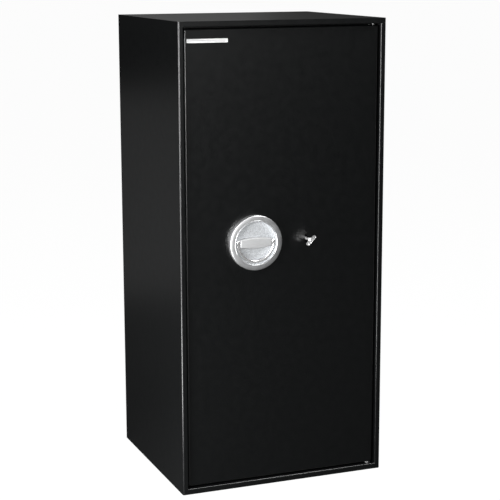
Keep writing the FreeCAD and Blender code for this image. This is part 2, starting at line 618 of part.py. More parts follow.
# ---------------------------------------------------------------- door
def door_pan():
    """The door's outer skin: a face with four turned-back edges."""
    body = new_body("door_pan")
    face = sketch_on(body, "door_face", "XZ_Plane", "-" + DOOR_FACE)
    rectangle(face, "outside", ("-" + DOOR_HALF, DOOR_HALF), (DOOR_LOW, DOOR_HIGH))
    pad(body, "door_block", face, "Sizes.door_depth", True)
    front = value(DOOR_FACE)
    round_edges(body, "door_corners", "Sizes.door_round", lambda edge: along(edge, "y"))
    round_edges(body, "door_face_round", S("$door_round - $fit_gap"), lambda edge: at(edge, "y", front))
    doc.recompute()
    hollow = sketch_on(body, "door_hollow", "XZ_Plane", "-" + PAN_BACK)
    rectangle(hollow, "inside", ("-" + PAN_IN, PAN_IN),
              (f"{DOOR_LOW} + Sizes.door_sheet", f"{DOOR_HIGH} - Sizes.door_sheet"))
    pocket(body, "pan_hollow", hollow, "Sizes.door_depth")
    holes = sketch_on(body, "face_holes", "XZ_Plane", "-" + DOOR_FACE)
    circle(holes, "dish", *HANDLE_PLACE, S("$dish_radius + $dish_lip_drop"))
    circle(holes, "key", *KEY_PLACE, "Sizes.key_bush_radius")
    for number, (across, up) in enumerate(RING_STUDS):
        circle(holes, f"stud{number}", across, up, "Sizes.stud_radius")
    pocket(body, "face_ways", holes, "Sizes.door_sheet")
    pins = sketch_on(body, "pin_holes", "XY_Plane", DOOR_LOW)
    circle(pins, "pin", PIVOT_X, PIVOT_Y, "Sizes.hinge_pin")
    pocket(body, "pin_ways", pins, f"{DOOR_HIGH} - {DOOR_LOW}", True)


HANDLE_PLACE = ("Sizes.handle_x", "Sizes.lock_z")
KEY_PLACE = ("Sizes.key_x", "Sizes.lock_z")
SPINDLE_BUSH_R = S("$spindle_radius + $spindle_wall")
STUD_OFFSET = S("$stud_circle * sqrt(0.5)")
RING_STUDS = [(f"(Sizes.handle_x {x} {STUD_OFFSET})", f"(Sizes.lock_z {z} {STUD_OFFSET})")
              for x, z in ("++", "-+", "--", "+-")]


def door_core():
    """Hard plate, fire board and the plate that closes the door's back."""
    across = (f"-{PAN_IN} + Sizes.fit_gap", f"{PAN_IN} - Sizes.fit_gap")
    up = (f"{DOOR_LOW} + Sizes.door_sheet + Sizes.fit_gap",
          f"{DOOR_HIGH} - Sizes.door_sheet - Sizes.fit_gap")

    def ways(name, y, studs):
        tools = [round_bar(name + "_spindle_way", "y", HANDLE_PLACE, SPINDLE_BUSH_R, *y),
                 round_bar(name + "_key_way", "y", KEY_PLACE, "Sizes.key_bush_radius", *y)]
        if studs:
            tools += [round_bar(f"{name}_stud{n}", "y", place, "Sizes.stud_radius", *y)
                      for n, place in enumerate(RING_STUDS)]
        return tools

    hard_y = (PAN_BACK, HARD_BACK)
    hard_x = (S("$handle_x - $hard_plate_reach / 2"), S("$key_x + $hard_plate_reach / 4"))
    plate = box("hard_block", hard_x, hard_y, around("Sizes.lock_z", "Sizes.hard_plate_height"))
    keep(cut("hard", plate, ways("hard", hard_y, True)), "hard_plate")
    board_y = (HARD_BACK, DOOR_PLATE)
    board = box("board_block", (across[0], f"{BLOCK_X} - Sizes.fit_gap"), board_y, up)
    keep(cut("board", board, ways("board", board_y, False)), "door_fire_board")
    rear_y = (DOOR_PLATE, DOOR_REAR)
    rear = box("rear_block", across, rear_y, up)
    keep(cut("rear", rear, ways("rear", rear_y, False)), "door_back_plate")


def door_hinges():
    """Blocks welded into the pan's right-hand corners, with the pivot pins pressed through them."""
    low, high = f"({DOOR_LOW} + Sizes.door_sheet)", f"({DOOR_HIGH} - Sizes.door_sheet)"
    heights = ((low, f"({low} + Sizes.hinge_block_height)"), (f"({high} - Sizes.hinge_block_height)", high))
    reaches = ((f"{DOOR_LOW} - Sizes.door_gap - Sizes.hinge_pin_reach", heights[0][1]),
               (heights[1][0], f"{DOOR_HIGH} + Sizes.door_gap + Sizes.hinge_pin_reach"))
    blocks, pins = [], []
    for number, (span, reach) in enumerate(zip(heights, reaches)):
        block = box(f"hinge_block{number}", (BLOCK_X, PAN_IN), (PAN_BACK, DOOR_PLATE), span)
        way = round_bar(f"hinge_way{number}", "z", (PIVOT_X, PIVOT_Y), "Sizes.hinge_pin", *span)
        blocks.append(cut(f"hinge_drilled{number}", block, [way]))
        pins.append(round_bar(f"hinge_pin{number}", "z", (PIVOT_X, PIVOT_Y), "Sizes.hinge_pin", *reach))
    keep(group("hinge_block_group", blocks), "hinge_blocks")
    keep(group("hinge_pin_group", pins), "hinge_pins")


def boltwork_case():
    """The folded frame behind the door, its cover plate and the cover's screws."""
    y = (DOOR_REAR, COVER_FRONT)
    outside = box("case_block", ("-" + BOX_HALF, BOX_HALF), y, (BOX_LOW, BOX_HIGH))
    inside = box("case_room", ("-" + BOX_IN, BOX_IN), y,
                 (f"{BOX_LOW} + Sizes.chassis_sheet", f"{BOX_HIGH} - Sizes.chassis_sheet"))
    way_r = S("$bolt_radius + $running_play")
    tools = [inside]
    for number, up in enumerate(SIDE_BOLTS):
        place = (BOLT_Y, up)
        tools.append(round_bar(f"case_bolt{number}", "x", place, way_r, "-" + BOX_HALF, "-" + BOX_IN))
        tools.append(round_bar(f"case_dog{number}", "x", place, "Sizes.bolt_radius", BOX_IN, BOX_HALF))
    tools.append(round_bar("case_top", "z", (TOP_ROD_X, BOLT_Y), way_r,
                           f"{BOX_HIGH} - Sizes.chassis_sheet", BOX_HIGH))
    tools.append(round_bar("case_low", "z", (LOW_ROD_X, BOLT_Y), way_r,
                           BOX_LOW, f"{BOX_LOW} + Sizes.chassis_sheet"))
    keep(cut("case", outside, tools), "boltwork_chassis")

    cover = new_body("boltwork_cover")
    face = sketch_on(cover, "cover_face", "XZ_Plane", "-" + COVER_FRONT)
    rectangle(face, "outside", ("-" + BOX_HALF, BOX_HALF), (BOX_LOW, BOX_HIGH))
    pad(cover, "cover_sheet", face, "Sizes.cover_sheet", True)
    screw_xs = (f"-{BOX_HALF} + Sizes.cover_screw_x", f"{BOX_HALF} - Sizes.cover_screw_x")
    third = f"({BOX_HIGH} - {BOX_LOW}) / 3"
    screw_zs = (f"{BOX_LOW} + Sizes.cover_screw_z", f"{BOX_LOW} + {third}",
                f"{BOX_HIGH} - {third}", f"{BOX_HIGH} - Sizes.cover_screw_z")
    screws = [round_bar(f"cover_screw{n}", "y", place, "Sizes.screw_head",
                        BOX_REAR, f"{BOX_REAR} + Sizes.screw_head_thick")
              for n, place in enumerate((x, z) for x in screw_xs for z in screw_zs)]
    keep(group("cover_screw_group", screws), "cover_screws")


def rounded_solid(name, base, round_size, axis, place):
    """The base with the edges that lie at one place along an axis rounded."""
    doc.recompute()
    piece = doc.addObject("Part::Fillet", name)
    piece.Base = base
    piece.Edges = [(number, size(round_size), size(round_size))
                   for number, edge in enumerate(base.Shape.Edges, start=1) if at(edge, axis, value(place))]
    return piece


def round_bolt(name, axis, centre, low, high, nose):
    """A locking bolt with a rounded nose at one end."""
    bar = round_bar(name + "_bar", axis, centre, "Sizes.bolt_radius", low, high)
    return rounded_solid(name, bar, "bolt_round", axis, high if nose == "high" else low)


def hinge_dogs():
    """Fixed bolts on the hinge side, held by nuts inside the chassis."""
    low, high = f"({BOX_IN} - Sizes.dog_tail)", f"({BOX_HALF} + Sizes.dog_nose)"
    dogs = [round_bolt(f"dog{n}", "x", (BOLT_Y, up), low, high, "high") for n, up in enumerate(SIDE_BOLTS)]
    keep(group("dog_group", dogs), "hinge_side_dogs")
    span = (f"({BOX_IN} - Sizes.dog_nut)", BOX_IN)
    nuts = []
    for number, up in enumerate(SIDE_BOLTS):
        nut = round_bar(f"dog_nut_out{number}", "x", (BOLT_Y, up), GUIDE_RING_R, *span)
        way = round_bar(f"dog_nut_way{number}", "x", (BOLT_Y, up), "Sizes.bolt_radius", *span)
        nuts.append(cut(f"dog_nut{number}", nut, [way]))
    keep(group("dog_nut_group", nuts), "hinge_dog_nuts")


GUIDE_RING_R = S("$bolt_radius + $guide_ring_wall")


def guides():
    """Rings that carry the left bolts, and blocks that carry the two rods."""
    rings = []
    span = ("-" + BOX_IN, f"-{BOX_IN} + Sizes.guide_ring_thick")
    way_r = S("$bolt_radius + $running_play")
    for number, up in enumerate(SIDE_BOLTS):
        ring = round_bar(f"guide_ring_out{number}", "x", (BOLT_Y, up), GUIDE_RING_R, *span)
        way = round_bar(f"guide_ring_way{number}", "x", (BOLT_Y, up), way_r, *span)
        rings.append(cut(f"guide_ring{number}", ring, [way]))
    keep(group("guide_ring_group", rings), "bolt_guide_rings")
    blocks = []
    wall, play = S("$bar_width / 2 + $guide_wall"), S("$bar_width / 2 + $slide_play")
    for middle, sign in ((TOP_ROD_X, "+"), (LOW_ROD_X, "-")):
        for step in (1, 2):
            name = f"rod_guide{len(blocks)}"
            z = around(f"(Sizes.lock_z {sign} {step} * Sizes.guide_spacing)", "Sizes.guide_length")
            block = box(name, (f"{middle} - {wall}", f"{middle} + {wall}"),
                        (DOOR_REAR, f"{ROD_REAR} + Sizes.guide_back"), z)
            way = box(name + "_way", (f"{middle} - {play}", f"{middle} + {play}"),
                      (f"{ROD_FRONT} - Sizes.slide_play", f"{ROD_REAR} + Sizes.slide_play"), z)
            blocks.append(cut(name + "_cut", block, [way]))
    keep(group("rod_guide_group", blocks), "rod_guides")


def spindle_bush():
    """The bearing that carries the handle's shaft through the door."""
    y = (HARD_BACK, DOOR_REAR)
    outside = round_bar("spindle_bush_out", "y", HANDLE_PLACE, SPINDLE_BUSH_R, *y)
    bore = round_bar("spindle_bush_bore", "y", HANDLE_PLACE, S("$spindle_radius + $running_play"), *y)
    keep(cut("spindle_bush_cut", outside, [bore]), "spindle_bush")


def escutcheon():
    """The fixed ring round the handle: chamfered outside, flat face, fine raised inner rim."""
    body = new_body("escutcheon_ring")
    section = sketch_on(body, "ring_section", "YZ_Plane", "Sizes.handle_x")
    section.setExpression("AttachmentOffset.Base.y", "Sizes.lock_z")
    outer, bore = "Sizes.ring_radius", "Sizes.ring_bore"
    face = f"({RING_FRONT} + Sizes.rim_rise)"
    outline(section, "ring", [
        (DOOR_FACE, bore), (RING_FRONT, bore), (RING_FRONT, f"{bore} + Sizes.rim_width / 2"),
        (face, f"{bore} + Sizes.rim_width"), (face, f"{outer} - Sizes.ring_chamfer"),
        (f"{RING_FRONT} + Sizes.ring_chamfer", outer), (DOOR_FACE, outer)])
    turned(body, "ring_turned", section)
    doc.recompute()
    studs = sketch_on(body, "stud_ways", "XZ_Plane", "-" + DOOR_FACE)
    for number, (across, up) in enumerate(RING_STUDS):
        circle(studs, f"stud{number}", across, up, "Sizes.stud_radius")
    pocket(body, "stud_holes", studs, "Sizes.stud_reach", True)
    pins = [round_bar(f"ring_stud{n}", "y", place, "Sizes.stud_radius",
                      f"{DOOR_FACE} - Sizes.stud_reach", HARD_BACK) for n, place in enumerate(RING_STUDS)]
    keep(group("ring_stud_group", pins), "escutcheon_studs")


# ---------------------------------------------------------------- handle
def handle_dish():
    """The round tray inside the ring, which turns with the spindle."""
    body = new_body("handle_dish")
    section = sketch_on(body, "dish_section", "YZ_Plane", "Sizes.handle_x")
    section.setExpression("AttachmentOffset.Base.y", "Sizes.lock_z")
    inner = S("$dish_radius - $dish_wall")
    outline(section, "dish", [
        (DISH_TOP, inner), (DISH_TOP, "Sizes.dish_radius"), (DISH_BACK, "Sizes.dish_radius"),
        (DISH_BACK, "0"), (DISH_SEAT, "0"), (DISH_SEAT, f"{inner} - Sizes.dish_corner"),
        (f"{DISH_SEAT} - Sizes.dish_corner / 2", f"{inner} - Sizes.dish_corner / 8")])
    turned(body, "dish_turned", section)


def handle_band():
    """The barrel-shaped band across the dish that carries the half ring's pins."""
    x = around("Sizes.handle_x", "Sizes.band_length")
    y = (f"({DISH_SEAT} - Sizes.dish_depth + Sizes.band_sink)", DISH_SEAT)
    reach = S("$band_end_height / 2 + $band_bulge")
    bow = S("($band_length * $band_length / 4 + $band_bulge * $band_bulge) / (2 * $band_bulge)")
    slab = box("band_slab", x, y, (f"Sizes.lock_z - {reach}", f"Sizes.lock_z + {reach}"))
    upper = round_bar("band_upper_bow", "y", ("Sizes.handle_x", f"Sizes.lock_z + {reach} - {bow}"), bow, *y)
    lower = round_bar("band_lower_bow", "y", ("Sizes.handle_x", f"Sizes.lock_z - {reach} + {bow}"), bow, *y)
    barrel = doc.addObject("Part::MultiCommon", "band_barrel")
    barrel.Shapes = [slab, upper, lower]
    rounded = rounded_solid("band_rounded", barrel, "band_round", "y", y[0])
    pin_way = round_bar("band_pin_way", "x", (PULL_Y, "Sizes.lock_z"), "Sizes.pull_pin", *x)
    keep(cut("band_drilled", rounded, [pin_way]), "handle_band")


def pull_ring():
    """The half ring that folds out of the dish: a flat-sided bow with two eyes."""
    body = new_body("pull_ring")
    plane = S("0.5 * $pull_thick") + " - " + PULL_Y
    face = sketch_on(body, "bow_face", "XZ_Plane", plane)
    circle(face, "outside", *HANDLE_PLACE, "Sizes.pull_outer")
    circle(face, "inside", *HANDLE_PLACE, "Sizes.pull_inner")
    pad(body, "bow", face, "Sizes.pull_thick", True)
    doc.recompute()
    upper = sketch_on(body, "upper_half", "XZ_Plane", plane)
    rectangle(upper, "half", (S("$handle_x - $dish_radius"), S("$handle_x + $dish_radius")),
              ("Sizes.lock_z", S("$lock_z + $dish_radius")))
    pocket(body, "half_ring", upper, "Sizes.pull_thick")
    eyes = sketch_on(body, "eye_face", "XZ_Plane", plane)
    near, far = S("$band_length / 2 + $eye_gap"), S("$band_length / 2 + $eye_gap + $pull_arm")
    up = (S("$lock_z - $eye_drop"), S("$lock_z + $pull_eye"))
    rectangle(eyes, "left", (f"Sizes.handle_x - {far}", f"Sizes.handle_x - {near}"), up)
    rectangle(eyes, "right", (f"Sizes.handle_x + {near}", f"Sizes.handle_x + {far}"), up)
    pad(body, "eyes", eyes, "Sizes.pull_thick", True)
    doc.recompute()
    top = value(up[1])
    round_edges(body, "eye_corners", "Sizes.eye_round", lambda edge: along(edge, "y") and at(edge, "z", top))
    front, rear = value(PULL_Y) - size("pull_thick") / 2, value(PULL_Y) + size("pull_thick") / 2
    round_edges(body, "bow_rounds", "Sizes.bow_edge_round",
                lambda edge: at(edge, "y", front) or at(edge, "y", rear))
    ways = sketch_on(body, "eye_ways", "YZ_Plane", f"Sizes.handle_x - {far}")
    circle(ways, "pin", PULL_Y, "Sizes.lock_z", S("$pull_pin + $running_play"))
    pocket(body, "eye_holes", ways, f"2 * {far}", True)
    inner, outer = S("$band_length / 2 - $pull_pin_grip"), S("$band_length / 2 + $pull_arm")
    spans = ((f"Sizes.handle_x - {outer}", f"Sizes.handle_x - {inner}"),
             (f"Sizes.handle_x + {inner}", f"Sizes.handle_x + {outer}"))
    pins = [round_bar(f"pull_pin{n}", "x", (PULL_Y, "Sizes.lock_z"), "Sizes.pull_pin", *span)
            for n, span in enumerate(spans)]
    keep(group("pull_pin_group", pins), "pull_ring_pins")


def spindle():
    """The shaft from the dish to the pinion, with the ring that holds it in."""
    end = f"({ROD_REAR} + Sizes.spindle_tail)"
    shaft = round_bar("spindle_bar", "y", HANDLE_PLACE, "Sizes.spindle_radius", DISH_BACK, end)
    keep(shaft, "handle_spindle")
    y = (f"({end} - 2 * Sizes.retainer_thick)", f"({end} - Sizes.retainer_thick)")
    disc = round_bar("retaining_disc", "y", HANDLE_PLACE, SPINDLE_BUSH_R, *y)
    bore = round_bar("retaining_bore", "y", HANDLE_PLACE, "Sizes.spindle_radius", *y)
    keep(cut("retaining_cut", disc, [bore]), "spindle_retaining_ring")


# ---------------------------------------------------------------- gearing
PRESSURE_ANGLE = math.radians(20)
BACKLASH = 0.25
FLANK_STEPS = 5


def gear_module():
    """The pitch diameter for each tooth."""
    return 2 * size("pinion_radius") / size("pinion_teeth")


def pinion_shape():
    """An involute pinion with a tooth space at the top, drawn from the standard formulas."""
    pitch, teeth, module = size("pinion_radius"), int(size("pinion_teeth")), gear_module()
    base = pitch * math.cos(PRESSURE_ANGLE)
    tip, root = pitch + ADDENDUM * module, pitch - DEDENDUM * module
    involute = math.tan(PRESSURE_ANGLE) - PRESSURE_ANGLE
    half_tooth = (math.pi * module / 2 - BACKLASH) / 2 / pitch

    def flank(radius):
        """Half the tooth's angle at a radius, from its middle line."""
        if radius <= base:
            return half_tooth + involute
        turn = math.acos(base / radius)
        return half_tooth + involute - (math.tan(turn) - turn)

    def point(radius, angle):
        return Vector(radius * math.sin(angle), 0, radius * math.cos(angle))

    radii = [base + (tip - base) * n / FLANK_STEPS for n in range(FLANK_STEPS + 1)]
    edges = []
    step = 2 * math.pi / teeth
    for tooth in range(teeth):
        middle = (tooth + 0.5) * step
        rising = [point(r, middle - flank(r)) for r in radii]
        falling = [point(r, middle + flank(r)) for r in reversed(radii)]
        foot_in, foot_out = point(root, middle - flank(root)), point(root, middle + flank(root))
        next_foot = point(root, middle + step - flank(root))
        for curve_points in (rising, falling):
            curve = Part.BSplineCurve()
            curve.interpolate(curve_points)
            edges.append(curve.toShape())
        edges.append(Part.LineSegment(foot_in, rising[0]).toShape())
        edges.append(Part.Arc(rising[-1], point(tip, middle), falling[0]).toShape())
        edges.append(Part.LineSegment(falling[-1], foot_out).toShape())
        edges.append(Part.Arc(foot_out, point(root, middle + step / 2), next_foot).toShape())
    outline_wire = Part.Wire(Part.__sortEdges__(edges))
    depth = value(ROD_REAR) - value(RACK_FRONT)
    solid = Part.Face(outline_wire).extrude(Vector(0, depth, 0))
    bore = Part.makeCylinder(size("spindle_radius"), depth, Vector(), Vector(0, 1, 0))
    return solid.cut(bore)


def rack_shape(length_teeth, first, thick, back):
    """Rack teeth along +X whose tips point to -Z; the pitch line is z = 0, a tooth is at x = 0."""
    module = gear_module()
    pitch = math.pi * module
    tip, root = -ADDENDUM * module, DEDENDUM * module
    half = (pitch / 2 - BACKLASH) / 2
    spread = math.tan(PRESSURE_ANGLE)
    points = [Vector((first - 0.5) * pitch, 0, back), Vector((first - 0.5) * pitch, 0, root)]
    for tooth in range(first, first + length_teeth):
        for side, up in ((-1, root), (-1, tip), (1, tip), (1, root)):
            points.append(Vector(tooth * pitch + side * (half + up * spread), 0, up))
    end = (first + length_teeth - 0.5) * pitch
    points += [Vector(end, 0, root), Vector(end, 0, back)]
    wire = Part.makePolygon(points + points[:1])
    return Part.Face(wire).extrude(Vector(0, thick, 0))


def drawn(name, shape, place, turn=FreeCAD.Rotation()):
    """A sub-part drawn by a formula, put in place after its shape."""
    piece = doc.addObject("Part::Feature", name)
    piece.Shape = shape
    piece.Placement = FreeCAD.Placement(Vector(*place), turn)
    return piece


def rack(name, place, turn, mirrored):
    """A rack in its own layer, long enough for the whole throw beyond the pinion's reach."""
    pitch = math.pi * gear_module()
    reach = int(math.ceil((size("rack_half_length") + value(THROW)) / pitch))
    short = int(math.ceil(size("rack_half_length") / pitch))
    first = -reach if mirrored else -short
    back = DEDENDUM * gear_module() + size("bar_width")
    return drawn(name, rack_shape(reach + short + 1, first, size("rod_thick"), back), place, turn)


def bolt_drive():
    """The pinion, and the rack with the bar that throws the three left bolts."""
    handle_x, lock_z, radius = size("handle_x"), size("lock_z"), size("pinion_radius")
    layer = value(RACK_FRONT)
    keep(drawn("pinion", pinion_shape(), (handle_x, layer, lock_z)), "drive_pinion")
    left_rack = rack("left_rack_teeth", (handle_x, layer, lock_z + radius), FreeCAD.Rotation(), False)
    rack_low = f"(Sizes.lock_z + Sizes.pinion_radius + {RACK_ROOT})"
    arm = box("left_arm", (BAR_LEFT, "Sizes.handle_x"), (RACK_FRONT, RACK_REAR),
              (rack_low, f"({rack_low} + Sizes.bar_width)"))
    keep(join("left_rack_joined", [arm, left_rack]), "left_bolt_rack")

    bar = box("left_bar_block", (BAR_LEFT, BAR_RIGHT), (RACK_REAR, f"({RACK_REAR} + Sizes.bar_thick)"),
              (f"{SIDE_BOLTS[0]} - Sizes.bar_end", f"{SIDE_BOLTS[2]} + Sizes.bar_end"))
    ways = [round_bar(f"left_bar_way{n}", "x", (BOLT_Y, up), "Sizes.bolt_stub", BAR_LEFT, BAR_RIGHT)
            for n, up in enumerate(SIDE_BOLTS)]
    keep(cut("left_bar", bar, ways), "left_bolt_bar")
    bolts, nuts = [], []
    nut_span = (BAR_RIGHT, f"({BAR_RIGHT} + Sizes.bolt_nut)")
    for number, up in enumerate(SIDE_BOLTS):
        place = (BOLT_Y, up)
        head = round_bolt(f"left_bolt_head{number}", "x", place, f"-{BOX_HALF} - Sizes.bolt_nose",
                          BAR_LEFT, "low")
        stub = round_bar(f"left_bolt_stub{number}", "x", place, "Sizes.bolt_stub", BAR_LEFT,
                         f"{BAR_RIGHT} + Sizes.bolt_stub_reach")
        bolts.append(join(f"left_bolt{number}", [head, stub]))
        nut = round_bar(f"bolt_nut_out{number}", "x", place, S("$bolt_stub + $bolt_nut_wall"), *nut_span)
        way = round_bar(f"bolt_nut_way{number}", "x", place, "Sizes.bolt_stub", *nut_span)
        nuts.append(cut(f"bolt_nut{number}", nut, [way]))
    keep(group("left_bolt_group", bolts), "left_bolts")
    keep(group("bolt_nut_group", nuts), "left_bolt_nuts")


def rod_drive():
    """The rods that throw the top and bottom bolts; the lock's tongue enters the top one's notch."""
    handle_x, lock_z, radius = size("handle_x"), size("lock_z"), size("pinion_radius")
    layer = value(ROD_FRONT)
    turn_right = FreeCAD.Rotation(Vector(0, 1, 0), 90)
    turn_left = FreeCAD.Rotation(Vector(0, 1, 0), -90)
    top_rack = rack("top_rack_teeth", (handle_x + radius, layer, lock_z), turn_right, False)
    top_end = f"({BOX_HIGH} - Sizes.rod_end_gap)"
    top_rod = box("top_rod_block", around(TOP_ROD_X, "Sizes.bar_width"), (ROD_FRONT, ROD_REAR),
                  ("Sizes.lock_z", top_end))
    notch_x = (TOP_ROD_X, f"{TOP_ROD_X} + Sizes.bar_width")
    tongue_low, tongue_high = f"({TONGUE_Z[0]} - Sizes.slot_play)", f"({TONGUE_Z[1]} + Sizes.slot_play)"
    notches = [box("notch_shut", notch_x, (ROD_FRONT, ROD_REAR), (tongue_low, tongue_high)),
               box("notch_thrown", notch_x, (ROD_FRONT, ROD_REAR),
                   (f"{tongue_low} - {THROW}", f"{tongue_high} - {THROW}"))]
    keep(cut("top_rod_notched", join("top_rod_joined", [top_rod, top_rack]), notches), "top_bolt_rod")
    low_rack = rack("low_rack_teeth", (handle_x - radius, layer, lock_z), turn_left, False)
    low_end = f"({BOX_LOW} + Sizes.rod_end_gap)"
    low_rod = box("low_rod_block", around(LOW_ROD_X, "Sizes.bar_width"), (ROD_FRONT, ROD_REAR),
                  (low_end, "Sizes.lock_z"))
    keep(join("low_rod_joined", [low_rod, low_rack]), "bottom_bolt_rod")
    keep(round_bolt("top_bolt_bar", "z", (TOP_ROD_X, BOLT_Y), top_end, f"{BOX_HIGH} + Sizes.bolt_nose",
                    "high"), "top_bolt")
    keep(round_bolt("low_bolt_bar", "z", (LOW_ROD_X, BOLT_Y), f"{BOX_LOW} - Sizes.bolt_nose", low_end,
                    "low"), "bottom_bolt")


# ---------------------------------------------------------------- lock and key
INSET = "Sizes.lock_screw_inset"
LOCK_CORNERS = [(x, z) for x in (f"(Sizes.lock_left + {INSET})", f"({LOCK_RIGHT} - {INSET})")
                for z in (f"({LOCK_LOW} + {INSET})", f"({LOCK_HIGH} - {INSET})")]


def lock_screw_ways(name, y):
    return [round_bar(f"{name}_screw_way{n}", "y", place, "Sizes.lock_screw", *y)
            for n, place in enumerate(LOCK_CORNERS)]


def lock_body():
    """Lock case on four standoffs, with its cover, screws and tongue."""
    whole_x, whole_z = ("Sizes.lock_left", LOCK_RIGHT), (LOCK_LOW, LOCK_HIGH)
    room_x = (S("$lock_left + $lock_wall"), f"({LOCK_RIGHT} - Sizes.lock_wall)")
    room_z = (f"({LOCK_LOW} + Sizes.lock_wall)", f"({LOCK_HIGH} - Sizes.lock_wall)")
    case = box("lock_block", whole_x, (LOCK_FRONT, LOCK_COVER), whole_z)
    tongue_way = box("lock_tongue_way", (whole_x[0], room_x[0]),
                     (f"{ROD_FRONT} - Sizes.fit_gap", f"{ROD_REAR} + Sizes.fit_gap"),
                     (f"{TONGUE_Z[0]} - Sizes.fit_gap", f"{TONGUE_Z[1]} + Sizes.fit_gap"))
    tools = [box("lock_room", room_x, (LOCK_IN_FRONT, LOCK_COVER), room_z), tongue_way,
             round_bar("lock_key_way", "y", KEY_PLACE, S("$key_bit_reach + $bit_play"),
                       LOCK_FRONT, LOCK_IN_FRONT)]
    case_ways = lock_screw_ways("case", (LOCK_FRONT, LOCK_COVER))
    keep(cut("lock_case_cut", case, tools + case_ways), "lock_case")
    cover_y = (LOCK_COVER, LOCK_REAR)
    cover = box("lock_lid", whole_x, cover_y, whole_z)
    keep(cut("lock_cover_cut", cover, lock_screw_ways("lid", cover_y)), "lock_cover")
    tip = f"({TOP_ROD_X} + Sizes.bar_width / 2 + Sizes.tongue_room)"
    keep(box("tongue_bar", (tip, f"({tip} + Sizes.tongue_length)"), (ROD_FRONT, ROD_REAR), TONGUE_Z),
         "lock_tongue")


def lock_fixings():
    """The standoffs under the lock's corners, and the screws that run through it into them."""
    screw_tip = f"({LOCK_FRONT} - Sizes.lock_screw_reach)"
    screw_end = f"({LOCK_REAR} + Sizes.lock_head_thick)"
    stands, screws = [], []
    for number, place in enumerate(LOCK_CORNERS):
        stand = round_bar(f"lock_stand{number}", "y", place, "Sizes.lock_stand_radius",
                          DOOR_REAR, LOCK_FRONT)
        way = round_bar(f"lock_stand_way{number}", "y", place, "Sizes.lock_screw", screw_tip, LOCK_FRONT)
        stands.append(cut(f"lock_stand_cut{number}", stand, [way]))
        shank = round_bar(f"lock_shank{number}", "y", place, "Sizes.lock_screw", screw_tip, LOCK_REAR)
        head = round_bar(f"lock_head{number}", "y", place, "Sizes.lock_head_radius", LOCK_REAR, screw_end)
        screws.append(join(f"lock_screw{number}", [shank, head]))
    keep(group("lock_stand_group", stands), "lock_standoffs")
    keep(group("lock_screw_group", screws), "lock_screws")


def lock_levers():
    """Four thin levers stacked on one pin above the key's bits, each with its leaf spring."""
    pin_place = (S("$key_x + $lever_pin_x"), f"({TONGUE_Z[1]} - Sizes.lever_pin_drop)")
    pin = round_bar("lever_pin_bar", "y", pin_place, "Sizes.lever_pin", LOCK_IN_FRONT, LOCK_COVER)
    keep(pin, "lever_pivot_pin")
    lever_x = (S("$lock_left + $lock_wall + $lever_start"), S("$key_x + $lever_end"))
    spring_x = (S("$lock_left + $lock_wall + $spring_start"), S("$key_x - $spring_end"))
    top = f"({TONGUE_Z[1]} + Sizes.lever_top)"
    levers, springs = [], []
    for number in range(4):
        low = f"({LOCK_IN_FRONT} + Sizes.fit_gap + {number} * Sizes.lever_pitch)"
        y = (low, f"({low} + Sizes.lever_thick)")
        plate = box(f"lever_plate{number}", lever_x, y, (S("$lock_z + $key_bit_reach + $lever_rise"), top))
        way = round_bar(f"lever_way{number}", "y", pin_place, "Sizes.lever_pin", *y)
        levers.append(cut(f"lever{number}", plate, [way]))
        springs.append(box(f"lever_spring{number}", spring_x, y, (top, f"({top} + Sizes.spring_thick)")))
    keep(group("lever_group", levers), "lock_levers")
    keep(group("lever_spring_group", springs), "lever_springs")


def key_bush():
    """The drilled bush that guides the key through the door, with a slot for the key's bits."""
    y = (DOOR_FACE, DOOR_REAR)
    outside = round_bar("key_bush_out", "y", KEY_PLACE, "Sizes.key_bush_radius", *y)
    bore = round_bar("key_bush_bore", "y", KEY_PLACE, S("$key_shank + $running_play"), *y)
    slot = box("key_bush_slot", around("Sizes.key_x", S("$key_bit_thick + 2 * $slot_play")), y,
               around("Sizes.lock_z", S("2 * $key_bit_reach + 2 * $slot_play")))
    keep(cut("key_bush_cut", outside, [bore, slot]), "keyhole_bush")


def key():
    """Double-bit key: a flat bow with rounded corners, a round shank and two bits."""
    body = new_body("key")
    body.Placement = FreeCAD.Placement(Vector(), FreeCAD.Rotation(Vector(0, 1, 0), 45))
    body.setExpression("Placement.Base.x", "Sizes.key_x")
    body.setExpression("Placement.Base.z", "Sizes.lock_z")
    bow_front = f"({DOOR_FACE} - Sizes.key_bow_front)"
    bow_rear = f"({bow_front} + Sizes.key_bow_length)"
    bit_front = f"({LOCK_IN_FRONT} + Sizes.bit_gap)"
    bit_y = (bit_front, f"({bit_front} + Sizes.key_bit_length)")
    half = S("$key_bow_width / 2")
    bow = sketch_on(body, "bow_outline", "YZ_Plane", S("-$key_bow_thick / 2"))
    rectangle(bow, "bow", (bow_front, bow_rear), ("-" + half, half))
    pad(body, "key_bow", bow, "Sizes.key_bow_thick")
    doc.recompute()
    round_edges(body, "bow_corners", "Sizes.key_bow_round", lambda edge: along(edge, "x"))
    doc.recompute()
    hole = sketch_on(body, "bow_hole", "YZ_Plane", S("-$key_bow_thick / 2"))
    hole_front = f"({bow_front} + Sizes.key_hole_edge)"
    rectangle(hole, "hole", (hole_front, f"({hole_front} + Sizes.key_hole_length)"),
              (S("-$key_hole_width / 2"), S("$key_hole_width / 2")))
    pocket(body, "bow_way", hole, "Sizes.key_bow_thick", True)
    shank = sketch_on(body, "shank_section", "XZ_Plane", f"Sizes.key_bow_overlap - {bow_rear}")
    circle(shank, "shank", "0", "0", "Sizes.key_shank")
    pad(body, "key_shank", shank, f"{bit_y[1]} - {bow_rear} + Sizes.key_bow_overlap", True)
    doc.recompute()
    bits = sketch_on(body, "bit_outline", "YZ_Plane", S("-$key_bit_thick / 2"))
    rectangle(bits, "bits", bit_y, (S("-$key_bit_reach"), "Sizes.key_bit_reach"))
    pad(body, "key_bits", bits, "Sizes.key_bit_thick")


